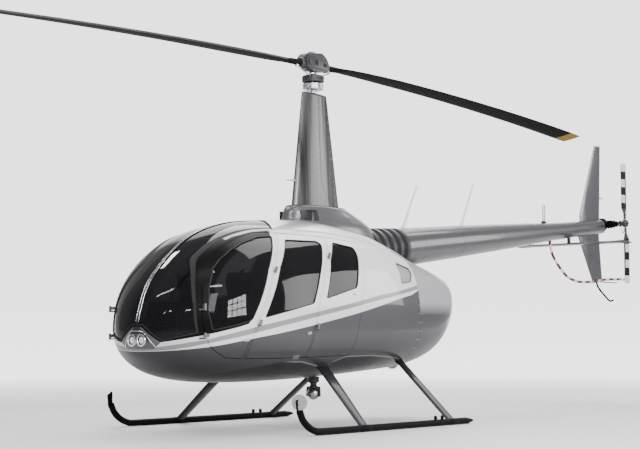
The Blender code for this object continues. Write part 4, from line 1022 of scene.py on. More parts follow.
def noseSpot(x, z, lift=0.0):
    # where the line at x and z meets the skin at the nose
    low, high = -2.36, -1.6
    for step in range(30):
        y = (low + high) / 2
        width, waist, squareness, reach = skinCut(y, z)
        within = min(abs(x) / width, 5.0) ** squareness + min((z - waist) / reach, 5.0) ** squareness < 1
        low, high = (low, y) if within else (y, high)
    spot = Vector((x, high, z))
    return spot + Vector(normalsAt([spot])[0]) * lift


hoodPath = [noseSpot(x, z, 0.003) for x, z in softened(frontHood, 4)]
finished(tube("lampHood", hoodPath, 0.0036, 12), "airframe", chrome)
bayPath = [noseSpot(x, z, 0.001) for x, z in softened([(x * 0.90, z - 0.008) for x, z in frontHood[1:-1]], 4)]
finished(tube("lampBaySeal", bayPath, 0.0060, 12), "airframe", blackRubber)

# mast cowl and fairing
mastCowlRings = [(1.680, -0.440, 0.920, 0.305), (1.880, -0.415, 0.830, 0.280), (1.960, -0.392, 0.720, 0.250),
                 (2.030, -0.375, 0.560, 0.215), (2.070, -0.350, 0.440, 0.197), (2.085, -0.310, 0.390, 0.180)]
fairingEnds = [(2.0853, -0.316, 0.394, 0.125), (3.195, -0.168, 0.200, 0.070)]


def roundRing(z, front, rear, width, count=72, squareness=2.2):
    middle, half = (front + rear) / 2, (rear - front) / 2
    return [(power(math.cos(math.tau * i / count), 2 / squareness) * width,
             middle + power(math.sin(math.tau * i / count), 2 / squareness) * half, z) for i in range(count)]


def aerofoilHalf(share):
    # half the thickness at a share of the chord, for a thickness of 1
    return (1.36 * math.sqrt(share) - 0.52 * share - 0.80 * share ** 2) * 0.92


def aerofoil(front, rear, thick, count=40):
    points = []
    for i in range(count):
        turn = math.tau * i / count
        share = (1 - math.cos(turn)) / 2
        half = thick * aerofoilHalf(share)
        side = 1.0 if turn <= math.pi else -1.0
        if i in (0, count // 2):
            half = 0.0 if i == 0 else thick * 0.02
        points.append((front + (rear - front) * share, side * max(half, 0.0)))
    return points


mastCowl = loft("mastCowl", [roundRing(*row) for row in curveThrough(mastCowlRings, 6)])
boolean(mastCowl, sealOuter)
for side in sides.values():
    low, high = sorted((side * 0.130, side * 0.4))
    inlet = block("inletTool", (low, -0.350, 1.930), (high, -0.170, 2.035), 0.02, 4)
    boolean(mastCowl, inlet)
    discard(inlet)
finished(smoothBy(mastCowl, 40), "airframe", mastCowlPaint, "mast_base_cowl")


def fairingRing(share):
    z, front, rear, half = (a + (b - a) * share for a, b in zip(*fairingEnds))
    return [(across, along, z) for along, across in aerofoil(front, rear, half, 56)]


fairing = loft("mastFairing", [fairingRing(i / 24) for i in range(25)])
finished(fairing, "airframe", fairingPaint, "mast_fairing")
print("mast made")

# tail boom
boomSet = {"start": Vector((0.0, 1.350, 1.758)), "slope": 0.1107, "louvreLength": 0.660,
           "louvreRadius": (0.238, 0.204), "louvres": 5, "louvreDepth": 0.022}
boomProfile = [(0.000, 0.202), (1.060, 0.178), (2.470, 0.137), (3.380, 0.104), (4.470, 0.090)]
boomAxis = Vector((0.0, 1.0, boomSet["slope"])).normalized()


def boomTurned(name, profile, steps=64, angle=35.0):
    return turned(name, boomSet["start"], boomAxis, profile, steps, angle)


boomRows = curveThrough(boomProfile, 6)
boomEnd = boomProfile[-1][0]
boom = boomTurned("tailBoom", [(0.0, 0.0)] + [(row[1], row[0]) for row in boomRows] + [(0.0, boomEnd)])
boolean(boom, sealOuter)
finished(smoothBy(boom, 30), "airframe", boomPaint, "tail_boom")

louvre = [(0.0, -0.0003)]
pitch = boomSet["louvreLength"] / boomSet["louvres"]
louvreFront, louvreRear = boomSet["louvreRadius"]
for i in range(boomSet["louvres"]):
    back = -0.0003 - pitch * i
    radius = louvreRear + (louvreFront - louvreRear) * i / boomSet["louvres"]
    groove = radius - boomSet["louvreDepth"]
    louvre += [(radius, back), (radius + 0.004, back - pitch * 0.40), (groove, back - pitch * 0.48),
               (groove, back - pitch * 0.95)]
louvreEnd = -boomSet["louvreLength"] - 0.03
louvre += [(louvreFront, louvreEnd), (0.0, louvreEnd)]
louvreCowl = boomTurned("louvreCowl", louvre, 64, 20)
boolean(louvreCowl, sealOuter)
finished(smoothBy(louvreCowl, 25), "airframe", darkMetal, "louvre_cowl")

# fins and stabiliser, as (height, leading edge y, trailing edge y, thickness)
upperFin = [(2.200, 5.235, 5.790, 0.056), (2.340, 5.300, 5.797, 0.052), (3.284, 5.700, 5.850, 0.022)]
lowerFin = [(2.200, 5.180, 5.780, 0.056), (2.090, 5.240, 5.787, 0.052), (1.556, 5.580, 5.852, 0.026)]
for name, rows in (("upper_fin", upperFin), ("lower_fin", lowerFin)):
    rings = [[(across, along, z) for along, across in aerofoil(front, rear, thick / 2, 40)]
             for z, front, rear, thick in rows]
    fin = loft(name.replace("_fin", "Fin"), rings)
    finished(fin, "airframe", finPaint, name)

stabiliser = {"span": 0.725, "y": (4.950, 5.262), "z": 1.990, "thick": 0.034,
              "bracket": ((-0.016, 4.985, 1.985), (0.016, 5.025, 2.10))}
# each end cap's sections, as (x, how far it grows past the chord, thickness)
tipSections = ((0.665, 0.000, 0.060), (0.668, 0.010, 0.086), (0.725, 0.012, 0.088), (0.729, 0.008, 0.070))


def wingRing(x, grown, thick):
    front, rear = stabiliser["y"][0] - grown, stabiliser["y"][1] + grown
    return [(x, along, stabiliser["z"] + rise) for along, rise in aerofoil(front, rear, thick, 40)]


wingParts = [loft("stabiliserWing", [wingRing(x, 0.0, stabiliser["thick"])
                                     for x in (-stabiliser["span"], stabiliser["span"])]),
             block("stabiliserBracket", *stabiliser["bracket"], 0.006)]
for side in sides.values():
    wingParts.append(loft("stabiliserTip", [wingRing(side * x, grown, thick / 2)
                                            for x, grown, thick in tipSections]))
finished(fuse("stabiliserWing", wingParts), "airframe", stabiliserPaint, "stabiliser")

# y and z of the guard's tube, from the boom round below the fin
guardLine = [(4.540, 2.012), (4.548, 1.930), (4.619, 1.813), (4.771, 1.687), (4.970, 1.577), (5.227, 1.530),
             (5.471, 1.533), (5.687, 1.548), (5.900, 1.576), (6.200, 1.592), (6.480, 1.600)]
guard = tube("tailGuard", [(0.0, y, z) for y, z in guardLine], 0.0165, 16, 6)
finished(guard, "airframe", guardPaint, "tail_guard")
print("tail made")

# main rotor
rotor = {"radius": 5.030, "hubZ": 3.480, "root": 0.2053, "droop": 0.0077, "cone": -0.0040, "teeter": 0.0055,
         "twist": -10.0, "twistFrom": 0.43}


def bladeHeight(distance, direction):
    return (rotor["hubZ"] + rotor["cone"] * distance - rotor["droop"] * distance ** 2
            + direction * rotor["teeter"] * distance)


# distance from the mast, chord and thickness
bladeStations = [(rotor["root"], 0.085, 0.075), (0.330, 0.100, 0.072), (0.430, 0.190, 0.042),
                 (0.750, 0.235, 0.030), (1.200, 0.262, 0.030), (2.400, 0.262, 0.030), (3.600, 0.262, 0.030),
                 (4.600, 0.262, 0.030), (rotor["radius"], 0.2515, 0.021)]


def mainBlade(name, direction, node):
    rings = []
    stations = curveThrough(bladeStations[:5], 4)[:-1] + curveThrough(bladeStations[4:], 8)
    for distance, chord, thick in stations:
        front, rear = -direction * chord * 0.32, direction * chord * 0.68
        z = bladeHeight(distance, direction)
        past = max(0.0, distance - rotor["twistFrom"]) / rotor["radius"]
        twist = -direction * math.radians(rotor["twist"] * past)
        rings.append([(along * math.cos(twist) - across * math.sin(twist), direction * distance,
                       z + along * math.sin(twist) + across * math.cos(twist))
                      for along, across in aerofoil(front, rear, thick * 0.8, 32)])
    finished(loft(name, rings), "main_rotor", bladePaint, node)


mainBlade("mainBladeAft", 1, "main_blade_aft")
mainBlade("mainBladeForward", -1, "main_blade_forward")

# tail rotor: distance from its axis, chord and thickness
tailStations = ((0.050, 0.050, 0.034), (0.130, 0.055, 0.030), (0.190, 0.120, 0.018), (0.480, 0.120, 0.015),
                (tailRotor["radius"], 0.120, 0.013))
pitch = math.radians(tailRotor["pitch"])
for name, direction in (("tail_blade_upper", 1), ("tail_blade_lower", -1)):
    rings = []
    for distance, chord, thick in tailStations:
        front, rear = (direction * chord * tailRotor["wider"] * share for share in (0.30, -0.70))
        rings.append([(tailRotor["x"] + across * math.cos(pitch) + along * math.sin(pitch),
                       tailRotor["y"] + along * math.cos(pitch) - across * math.sin(pitch),
                       tailRotor["z"] + direction * distance)
                      for along, across in aerofoil(front, rear, thick / 2, 32)])
    piece = "tailBlade" + name.split("_")[-1].title()
    finished(loft(piece, rings), "tail_rotor", tailBladePaint, name)
print("rotors made")

# landing gear: each leg as the foot's y, how far it leans inwards and aft for each metre up, and its rise
gear = {"tread": 1.133, "radius": 0.030, "thick": 0.046, "knee": 0.090, "lugs": (0.410, 0.520), "around": 28,
        "foot": 0.032, "chord": {"front": (0.108, 0.114, 0.165), "rear": (0.104, 0.104, 0.098)}}
legs = {"front": (-0.676, 1.06, 0.194, 0.640), "rear": (0.687, 1.20, 0.157, 0.660)}
skidTail = [(1.037, 0.030), (0.985, 0.031), (0.900, 0.032)]
skidPath = [(1.037, 0.032), (0.400, 0.032), (-0.400, 0.032), (-1.250, 0.032), (-1.360, 0.040),
            (-1.450, 0.075), (-1.525, 0.135), (-1.572, 0.215)]
toePlate = [(-1.555, 0.150), (-1.600, 0.185), (-1.615, 0.300), (-1.565, 0.325)]
# distances past the skin and sizes of the collar where a leg enters it
collarSteps = ((-0.012, 1.0), (-0.010, 1.05), (0.010, 1.08), (0.06, 1.12))


def legRing(leg, distance, wide, thick):
    foot, way, chordWay, sideWay = leg
    return [foot + way * distance + roundStep(chordWay * wide, sideWay * thick, gear["around"], i)
            for i in range(gear["around"])]


for sideName, side in sides.items():
    skidX = side * gear["tread"]
    skidPoints = curveThrough([(skidX, y, z) for y, z in skidPath], 5)
    radii = [0.010, 0.022] + [gear["radius"]] * len(skidPoints)
    skidParts = [tube("skidBar", [Vector((skidX, y, z)) for y, z in skidTail] + skidPoints[1:], radii, 24),
                 prism("toeTool", roundCorners(toePlate, 0.01), "X", skidX - 0.006, skidX + 0.006)]
    skidParts += [block("skidLug", (skidX - 0.011, y - 0.014, 0.035), (skidX + 0.011, y + 0.014, 0.098),
                        0.005, 3) for y in gear["lugs"]]
    skidParts += [turned("footClamp", (skidX, legSet[0], gear["foot"]), (0, 1, 0),
                         [(0.030, -0.075), (0.0316, -0.070), (0.0316, 0.070), (0.030, 0.075)], 32)
                  for legSet in legs.values()]
    finished(fuse(f"skidBar{sideName.title()}", skidParts), "airframe", skidPaint, f"skid_{sideName}")
    shoe = block(f"skidShoe{sideName.title()}", (skidX - 0.016, -1.180, 0.0), (skidX + 0.016, 0.960, 0.012),
                 0.003)
    finished(shoe, "airframe", shoeMetal)
    for legName, (footY, inward, aft, rise) in legs.items():
        foot = Vector((skidX, footY, gear["foot"]))
        way = Vector((-side * inward, aft, 1.0))
        sideWay = way.cross(Vector((0, 1, 0))).normalized()
        leg = (foot, way, sideWay.cross(way).normalized(), sideWay)
        low, knee, high = gear["chord"][legName]
        sections = ((0.0, low), (gear["knee"], knee), (rise * 0.5, (knee + high) / 2), (rise, high))
        legPiece = loft(f"gearLeg{legName.title()}{sideName.title()}",
                        [legRing(leg, distance, chord / 2, gear["thick"] / 2)
                         for distance, chord in sections])
        boolean(legPiece, sealOuter)
        legFinish = legPaint if side > 0 else shadedLegPaint
        finished(legPiece, "airframe", legFinish, f"gear_leg_{legName}_{sideName}")
        reach = rise
        while skinX(*(foot + way * reach).yz) > abs((foot + way * reach).x) + 0.001 and reach > 0.1:
            reach -= 0.005
        collar = loft(f"legCollar{legName.title()}{sideName.title()}",
                      [legRing(leg, reach + past, high * size / 2, gear["thick"] * size * 0.62)
                       for past, size in collarSteps])
        boolean(collar, skin)
        finished(collar, "airframe", blackRubber)
print("landing gear made")

# hinges: a pin and knuckle on the shell, a barrel on the door
# for each hinge, the middle of its pin, then how far inwards and aft its arms reach on the shell and the door
hinges = {
    "front_door": (((0.572, -2.112, 0.840), (0.083, -0.006), (0.000, 0.065)),
                   ((0.572, -2.112, 1.080), (0.083, -0.006), (0.054, 0.020))),
    "rear_door": (((0.794, -1.662, 0.950), (0.040, -0.003), (0.040, 0.024)),
                  ((0.738, -1.402, 1.409), (0.040, -0.003), (0.040, 0.024))),
    "baggage_door": (((0.773, -0.872, 0.926), (0.033, -0.008), (0.033, 0.022)),
                     ((0.665, -0.580, 1.569), (0.033, -0.012), (0.033, 0.024))),
}
hingeSet = {"pin": 0.0050, "bore": 0.0056, "barrel": 0.0110, "half": 0.020, "knuckle": 0.014, "arm": 0.010,
            "armStart": 0.008, "gap": 0.0003}
for doorName, sideName, side in doorPlaces:
    low, high = (Vector((side * x, y, z)) for (x, y, z), _, _ in hinges[doorName])
    up = (high - low).normalized()
    outward = Vector((side, 0, 0))
    outward = (outward - up * outward.dot(up)).normalized()
    aftWay = side * up.cross(outward)
    fixed, moving = [], []
    half, outer, bore, pin = (hingeSet[key] for key in ("half", "barrel", "bore", "pin"))
    below = -half - hingeSet["gap"]
    lowest = below - hingeSet["knuckle"]
    for centre, (_, shellReach, doorReach) in zip((low, high), hinges[doorName]):
        moving.append(turned("hingeBarrel", centre, up, [
            (outer, half), (outer, -half), (bore, -half), (bore, half), (outer, half)], 24))
        fixed.append(turned("hingePin", centre, up, [
            (0.0, half + 0.002), (pin - 0.001, half + 0.002), (pin, half + 0.001), (pin, below),
            (outer, below), (outer, lowest), (0.0, lowest)], 24))
        foot = centre + up * (below - hingeSet["knuckle"] / 2)
        fixed.append(bar("hingeArm", foot, foot - outward * shellReach[0] + aftWay * shellReach[1],
                         hingeSet["arm"], hingeSet["knuckle"], 0.002, up))
        reach = aftWay * doorReach[1] - outward * doorReach[0]
        moving.append(bar("hingeArm", centre + reach.normalized() * hingeSet["armStart"], centre + reach,
                          hingeSet["arm"], half * 1.4, 0.002, up))
    place = doorName.split("_")[0].title() + sideName.title()
    finished(fuse(f"hingeFixed{place}", fixed), "airframe", hingeMetal)
    finished(fuse(f"hingeMoving{place}", moving), f"{doorName}_{sideName}", hingeMetal)
print("hinges made")


def seatedPlate(name, y, z, side, length, height, thick, turn=0.0, edge=0.002):
    # a small plate with softened edges lying on the skin
    spot, normal = onSkin(y, z, side)
    aftWay = Vector((0, 1, 0))
    aftWay = (aftWay - normal * aftWay.dot(normal)).normalized()
    obj = block(name, (-0.002, -length / 2, -height / 2), (thick, length / 2, height / 2), edge, 3)
    lie = Matrix((normal, aftWay, normal.cross(aftWay))).transposed().to_4x4()
    obj.data.transform(Matrix.Translation(spot) @ lie @ Matrix.Rotation(turn, 4, "X"))
    return obj


# latches, as (y, z) on each door
latches = {"front_door": (-1.775, 0.800), "rear_door": (-0.975, 0.860), "baggage_door": (-0.290, 1.224)}
latchTurn = 0.15
for doorName, sideName, side in doorPlaces:
    y, z = latches[doorName]
    plates = [seatedPlate("latch", y, z, side, 0.052, 0.022, 0.0025, side * latchTurn, 0.002),
              seatedPlate("lever", y + 0.004, z, side, 0.036, 0.009, 0.008, side * latchTurn, 0.002)]
    place = doorName.split("_")[0].title() + sideName.title()
    finished(fuse(f"latch{place}", plates), f"{doorName}_{sideName}", bareMetal)

# step cap, roof rail, cowl screws on both sides of the seam, and a bead along the windscreen's post
stepCap = (-1.087, 0.652)
screwLines = [(0.912, np.arange(0.72, 1.60, 0.085)), (0.868, np.arange(0.72, 1.56, 0.085))]
for sideName, side in sides.items():
    caps = [seatedPlate("stepCap", *stepCap, side, 0.060, 0.018, 0.006, 0.0, 0.006),
            seatedPlate("stepRing", *stepCap, side, 0.092, 0.044, 0.003, 0.0, 0.002)]
    finished(fuse(f"sideCap{sideName.title()}", caps), "airframe", hingeMetal)
    seamPoints = [onSkin(y, z, side, 0.003)[0] for y, z in softened(roofSeam, 5)[3:]]
    finished(tube(f"roofRail{sideName.title()}", seamPoints, 0.0055, 12), "airframe", chrome)
    cowlSpots = [onSkin(y, z, side) for y, heights in screwLines for z in heights]
    finished(studs(f"cowlScrews{sideName.title()}", cowlSpots, 0.0045, 0.0018), "airframe", bareMetal)
    ridge = [Vector((side * 0.0135, row[0], row[1] + 0.0005)) for row in skinRows if -2.335 < row[0] < -0.86]
    finished(tube(f"postBead{sideName.title()}", ridge, 0.0026, 12), "airframe", chrome)

# exhaust stub, low on the aft cowl to starboard
exhaustWay = Vector((-0.050, 0.190, -0.100))
exhaust = turned("exhaustStub", (-0.200, 1.450, 0.660), exhaustWay, [
    (0.0, 0.0), (0.070, 0.0), (0.070, 0.212), (0.068, 0.2205), (0.064, 0.2205), (0.062, 0.212), (0.062, 0.06),
    (0.0, 0.06)], 48)
finished(exhaust, "airframe", burntMetal)

# mast cowl fittings and fairing trims
inletBox = {"x": (0.126, 0.136), "y": (-0.345, -0.175), "z": (1.935, 2.030)}
lipSections = ((2.076, -0.345, 0.425, 0.192), (2.084, -0.338, 0.418, 0.188), (2.0870, -0.322, 0.402, 0.150))
for sideName, side in sides.items():
    near, far = sorted(side * x for x in inletBox["x"])
    inlet = block(f"inletMesh{sideName.title()}", (near, inletBox["y"][0], inletBox["z"][0]),
                  (far, inletBox["y"][1], inletBox["z"][1]), 0.002)
    finished(inlet, "airframe", inletMesh)
finished(loft("cowlLip", [roundRing(*section) for section in lipSections]), "airframe", darkMetal)


def fairingPoint(z, share, side, lift=0.0):
    # a place on the fairing's side at a share of its chord
    down = (z - fairingEnds[0][0]) / (fairingEnds[1][0] - fairingEnds[0][0])
    _, front, rear, half = (a + (b - a) * down for a, b in zip(*fairingEnds))
    return Vector((side * (half * aerofoilHalf(share) + lift), front + (rear - front) * share, z))


seamHeights = np.linspace(3.1, 2.36, 9)
seamLine = [(3.185, 0.55)] + [(z, 0.55) for z in seamHeights] + [(2.28, 0.60), (2.19, 0.72), (2.10, 0.86)]
for sideName, side in sides.items():
    seam = [fairingPoint(z, share, side, -0.0006) for z, share in seamLine]
    finished(tube(f"fairingSeam{sideName.title()}", seam, 0.0022, 8), "airframe", darkMetal)
    screwSpots = []
    for z in np.linspace(2.14, 3.16, 15):
        for share in (0.50, 0.92):
            here, there = fairingPoint(z, share, side), fairingPoint(z, share + 0.02, side)
            screwSpots.append((here, (there - here).cross(Vector((0, 0, side))).normalized()))
    finished(studs(f"fairingScrews{sideName.title()}", screwSpots, 0.0040, 0.0014), "airframe", bareMetal)
trailing = [Vector((0.0, fairingPoint(z, 1.0, 1).y - 0.004, z)) for z in np.linspace(2.09, 3.19, 12)]
finished(tube("fairingEdge", trailing, 0.006, 12), "airframe", darkMetal)
capRing = loft("fairingCap", [[(x * 1.02, y, z) for x, y, _ in fairingRing(1.0)] for z in (3.180, 3.1985)])
finished(capRing, "airframe", darkMetal)
pitot = tube("pitotTube", [(0.0, -0.20, 2.325), (0.0, -0.335, 2.325), (0.0, -0.395, 2.320)],
             [0.012, 0.010, 0.006], 16)
finished(pitot, "airframe", chrome)
print("mast fittings made")

# boom bands, rivets and aerial base
boomSide, boomUp = Vector((1, 0, 0)), boomAxis.cross(Vector((1, 0, 0))) * -1.0


def boomRadius(distance):
    return float(np.interp(distance, [row[0] for row in boomRows], [row[1] for row in boomRows]))


boomBands = []
for distance in (0.30, 1.06, 1.86, 2.66, 3.38, 4.02, 4.455):
    inner, outer = boomRadius(distance) - 0.002, boomRadius(distance) + 0.0012
    boomBands.append(boomTurned("boomBand", [(inner, distance - 0.012), (outer, distance - 0.010),
                                             (outer, distance + 0.010), (inner, distance + 0.012)]))
finished(fuse("boomBands", boomBands), "airframe", boomPaint)
rivetSpots = []
for distance in (1.05, 1.85, 2.65, 3.37, 4.01):
    middle, radius = boomSet["start"] + boomAxis * distance, boomRadius(distance) + 0.0010
    for i in range(30):
        way = roundStep(boomSide, boomUp, 30, i)
        rivetSpots.append((middle + way * radius, way))
finished(studs("boomRivets", rivetSpots, 0.0040, 0.0014, 8), "airframe", boomPaint)
aerialBase = block("aerialBase", (-0.013, 4.355, 2.14), (0.013, 4.445, 2.232), 0.008, 4)
aerialFin = block("aerialFin", (-0.007, 4.372, 2.228), (0.007, 4.430, 2.430), 0.006, 4)
finished(aerialFin, "airframe", silverPaint)
finished(aerialBase, "airframe", blackRubber)
rodPath = [(0.0, y, 1.545) for y in (5.74, 5.95, 6.256)]
finished(tube("guardRod", rodPath, 0.0075, 12), "airframe", finPaint)
strapProfile = [(0.0145, -0.016), (0.0175, -0.013), (0.0175, 0.013), (0.0145, 0.016)]
straps = [turned("guardStrap", (0.0, y, z), (0.0, 1.0, slope), strapProfile, 24)
          for y, z, slope in ((5.560, 1.538, 0.05), (5.800, 1.562, 0.15), (6.30, 1.595, 0.03))]
finished(fuse("guardStraps", straps), "airframe", bareMetal)
finLamp = turned("tailLamp", (0.0, 5.858, 2.62), (0, 1, 0), [
    (0.0, -0.02), (0.016, -0.02), (0.016, 0.004), (0.012, 0.016), (0.0, 0.021)], 24)
finished(finLamp, "airframe", lampLens)
finEdge = tube("finLeadingEdge", [(0.0, 5.296, 2.345), (0.0, 5.495, 2.812), (0.0, 5.696, 3.280)],
               [0.015, 0.012, 0.009], 16)
finished(finEdge, "airframe", silverPaint)
finCap = block("finCap", (-0.010, 5.705, 3.276), (0.010, 5.846, 3.292), 0.003, 3)
finished(finCap, "airframe", silverPaint)
print("tail fittings made")

# tail gearbox and tail rotor head; the fins are (x, radius) along the rotor's axis
boxPlace = Vector((0.0, tailRotor["y"], tailRotor["z"]))
alongX = (1, 0, 0)
boxFins = ((-0.060, 0.050), (-0.046, 0.066), (-0.030, 0.078), (-0.015, 0.081), (0.0, 0.082), (0.015, 0.081),
           (0.030, 0.078), (0.046, 0.066), (0.060, 0.050))
shaftFins = ((0.092, 0.052), (0.112, 0.046), (0.132, 0.052), (0.152, 0.040), (0.172, 0.046), (0.205, 0.038))


def ribs(name, places, half, ridge, steps):
    # thin discs with a slight ridge round their rims
    return [turned(name, boxPlace, alongX, [(0.0, x - half), (r, x - half), (r + ridge, x), (r, x + half),
                                            (0.0, x + half)], steps) for x, r in places]


core = turned("gearboxCore", boxPlace, alongX, [
    (0.0, -0.078), (0.040, -0.074), (0.068, -0.030), (0.068, 0.030), (0.042, 0.074), (0.033, 0.100),
    (0.030, 0.225), (0.026, 0.232), (0.0, 0.232)], 40)
neck = boomTurned("gearboxNeck", [(0.0, 4.4705), (0.088, 4.4705), (0.088, 4.500), (0.060, 4.535),
                                  (0.0, 4.545)], 48)
boxParts = [core, neck] + ribs("gearboxFin", boxFins, 0.0025, 0.0015, 40)
boxParts += ribs("shaftFin", shaftFins, 0.004, 0.002, 32)
finished(fuse("tailGearbox", boxParts), "airframe", skidPaint, "tail_gearbox")
neckBolts = [(boomSet["start"] + boomAxis * 4.4995 + roundStep(boomSide, boomUp, 10, i) * 0.074, boomAxis)
             for i in range(10)]
finished(studs("gearboxBolts", neckBolts, 0.0055, 0.005, 6), "airframe", bareMetal)
headParts = [turned("tailHead", boxPlace, alongX, [
    (0.0, 0.2325), (0.021, 0.2325), (0.022, 0.296), (0.046, 0.304), (0.048, 0.312), (0.048, 0.344),
    (0.046, 0.352), (0.022, 0.358), (0.022, 0.368), (0.018, 0.373), (0.0, 0.373)], 40)]
headParts.append(turned("pitchCollar", boxPlace, alongX, [(0.0225, 0.250), (0.040, 0.252), (0.040, 0.268),
                                                          (0.0225, 0.270)], 32))
finished(fuse("tailRotorHead", headParts), "tail_rotor", darkMetal, "tail_rotor_hub")
tailLinks = []
for direction in (1, -1):
    foot = boxPlace + Vector((0.260, direction * 0.036, 0.0))
    head = boxPlace + Vector((0.318, direction * 0.040, direction * 0.120))
    tailLinks.append(tube("tailLink", [foot, head], 0.0045, 12))
    tailLinks.append(disc("linkEnd", head, alongX, 0.009, -0.010, 0.010, 20))
    hornEnd = boxPlace + Vector((tailRotor["x"], direction * 0.010, direction * 0.120))
    tailLinks.append(bar("pitchHorn", head - Vector((0, direction * 0.002, 0)), hornEnd, 0.008, 0.014))
    for reach in (0.075, 0.105):
        spot = boxPlace + Vector((tailRotor["x"], 0.0, direction * reach))
        tailLinks.append(disc("bladeBolt", spot, alongX, 0.008, -0.023, 0.023, 6))
finished(fuse("tailRotorLinks", tailLinks), "tail_rotor", bareMetal)
print("tail rotor head made")

# main rotor head
upright = (0, 0, 1)
hubOutline = [(-0.205, 3.452), (-0.205, 3.510), (-0.150, 3.575), (0.090, 3.608), (0.160, 3.568),
              (0.205, 3.500), (0.205, 3.440), (0.060, 3.415), (-0.060, 3.415)]
cheekOutline = [(-0.165, 3.440), (-0.165, 3.530), (-0.110, 3.562), (0.110, 3.562), (0.165, 3.530),
                (0.165, 3.440)]
hubBolts = ((0.0, 3.500, 0.030), (-0.125, 3.490, 0.022), (0.125, 3.490, 0.022))
hubCore = prism("hubCore", roundCorners(hubOutline, 0.022, 4), "X", -0.046, 0.046)
bevel(hubCore, 0.005, 3)
smoothBy(hubCore)
hubParts = [hubCore]
for side in sides.values():
    cheek = prism("hubCheek", roundCorners(cheekOutline, 0.02, 4), "X",
                  *sorted((side * 0.0455, side * 0.0600)))
    bevel(cheek, 0.003, 2)
    hubParts.append(smoothBy(cheek))
    for y, z, r in hubBolts:
        hubParts.append(turned("hubBolt", (side * 0.059, y, z), (side, 0, 0), [
            (0.0, 0.0), (r, 0.0), (r, 0.006), (r * 0.72, 0.008), (r * 0.72, 0.0165), (r * 0.6, 0.018),
            (0.0, 0.018)], 12))
for direction in (1, -1):
    hubParts.append(turned("bladeGrip", (0, 0, rotor["hubZ"]), (0, direction, -0.005), [
        (0.0, 0.085), (0.050, 0.085), (0.052, 0.095), (0.052, 0.150), (0.046, 0.156), (0.046, 0.168),
        (0.052, 0.174), (0.052, 0.198), (0.048, 0.2045), (0.0, 0.2045)], 48))
hubParts.append(turned("hubCap", (0.0, -0.020, 3.588), (0.0, 0.10, 1.0), [
    (0.0, 0.0), (0.040, 0.0), (0.040, 0.010), (0.024, 0.020), (0.010, 0.024), (0.0, 0.024)], 32))
finished(fuse("rotorHead", hubParts), "main_rotor", hubMetal, "rotor_hub")
shaft = turned("mastShaft", (0, 0, 0), upright, [
    (0.0, 3.1955), (0.030, 3.1955), (0.030, 3.385), (0.038, 3.390), (0.038, 3.404), (0.033, 3.4145),
    (0.0, 3.4145)], 40)
finished(shaft, "main_rotor", chrome, "mast_shaft")


def plainRing(name, low, high, outer, bore, lip=0.008):
    return turned(name, (0, 0, 0), upright, [
        (outer - lip, high), (outer, high - lip), (outer, low + lip), (outer - lip, low), (bore, low),
        (bore, high), (outer - lip, high)], 56)


def levelWay(count, i):
    return roundStep(Vector((1, 0, 0)), Vector((0, 1, 0)), count, i)


turningParts = [plainRing("turningRing", 3.306, 3.372, 0.108, 0.0304)]
links = []
for direction in (1, -1):
    ear = Vector((-direction * 0.030, direction * 0.060, 3.352))
    foot, linkFoot = (Vector((-direction * 0.030, direction * 0.092, z)) for z in (3.360, 3.364))
    head = Vector((-direction * 0.012, direction * 0.262, 3.438))
    turningParts.append(bar("swashEar", ear, foot, 0.026, 0.022))
    turningParts.append(tube("hornFoot", [foot, foot + (head - foot) * 0.12], 0.011, 16))
    way = (head - linkFoot).normalized()
    linkPath = [linkFoot, linkFoot + way * 0.02, linkFoot + way * 0.03, head - way * 0.03, head - way * 0.02,
                head]
    links.append(tube("pitchLink", linkPath, [0.011, 0.011, 0.0075, 0.0075, 0.011, 0.011], 20))
    links.append(disc("rodEnd", head, alongX, 0.013, -0.011, 0.011, 24))
    links.append(bar("pitchHorn", head + Vector((direction * 0.012, 0, 0.004)),
                     Vector((direction * 0.020, direction * 0.215, 3.462)), 0.014, 0.024))
swash = fuse("turningSwashplate", turningParts)
for i in range(12):
    way = levelWay(12, i)
    hole = disc("ringHole", way * 0.112 + Vector((0, 0, 3.339)), way, 0.010, -0.012, 0.01, 16)
    boolean(swash, hole)
    discard(hole)
finished(smoothBy(swash), "main_rotor", darkMetal, "turning_swashplate")
finished(fuse("pitchLinks", links), "main_rotor", chrome)
fixedParts = [plainRing("fixedRing", 3.232, 3.300, 0.100, 0.0360)]
for turn in (90, 210, 330):
    outward = levelWay(360, turn)
    foot, lug = outward * 0.052, Vector((0, 0, 3.262))
    fixedParts.append(tube("servoRod", [foot + Vector((0, 0, z)) for z in (3.1955, 3.245)], 0.010, 20))
    fixedParts.append(bar("swashLug", outward * 0.085 + lug, outward * 0.098 + lug, 0.030, 0.030))
finished(fuse("fixedSwashplate", fixedParts), "airframe", bareMetal, "fixed_swashplate")
studSpots = [(levelWay(18, i) * 0.0995 + Vector((0, 0, z)), levelWay(18, i))
             for i in range(18) for z in (3.285, 3.247)]
finished(studs("swashStuds", studSpots, 0.0060, 0.004, 8), "airframe", chrome)
tabSet = {"distance": 3.95, "low": (-0.020, 0, 0), "high": (0.020, 0.12, 0.0016), "x": 0.190}
tabSeed = block("tabSeed", tabSet["low"], tabSet["high"], 0.0005)
for direction, tabName in ((1, "trimTabAft"), (-1, "trimTabForward")):
    tab = copyOf(tabSeed, tabName)
    tab.data.transform(Matrix.Translation((direction * tabSet["x"], direction * tabSet["distance"] - 0.06,
                                           bladeHeight(tabSet["distance"], direction))))
    finished(tab, "main_rotor", bladePaint)
discard(tabSeed)
print("rotor head made")

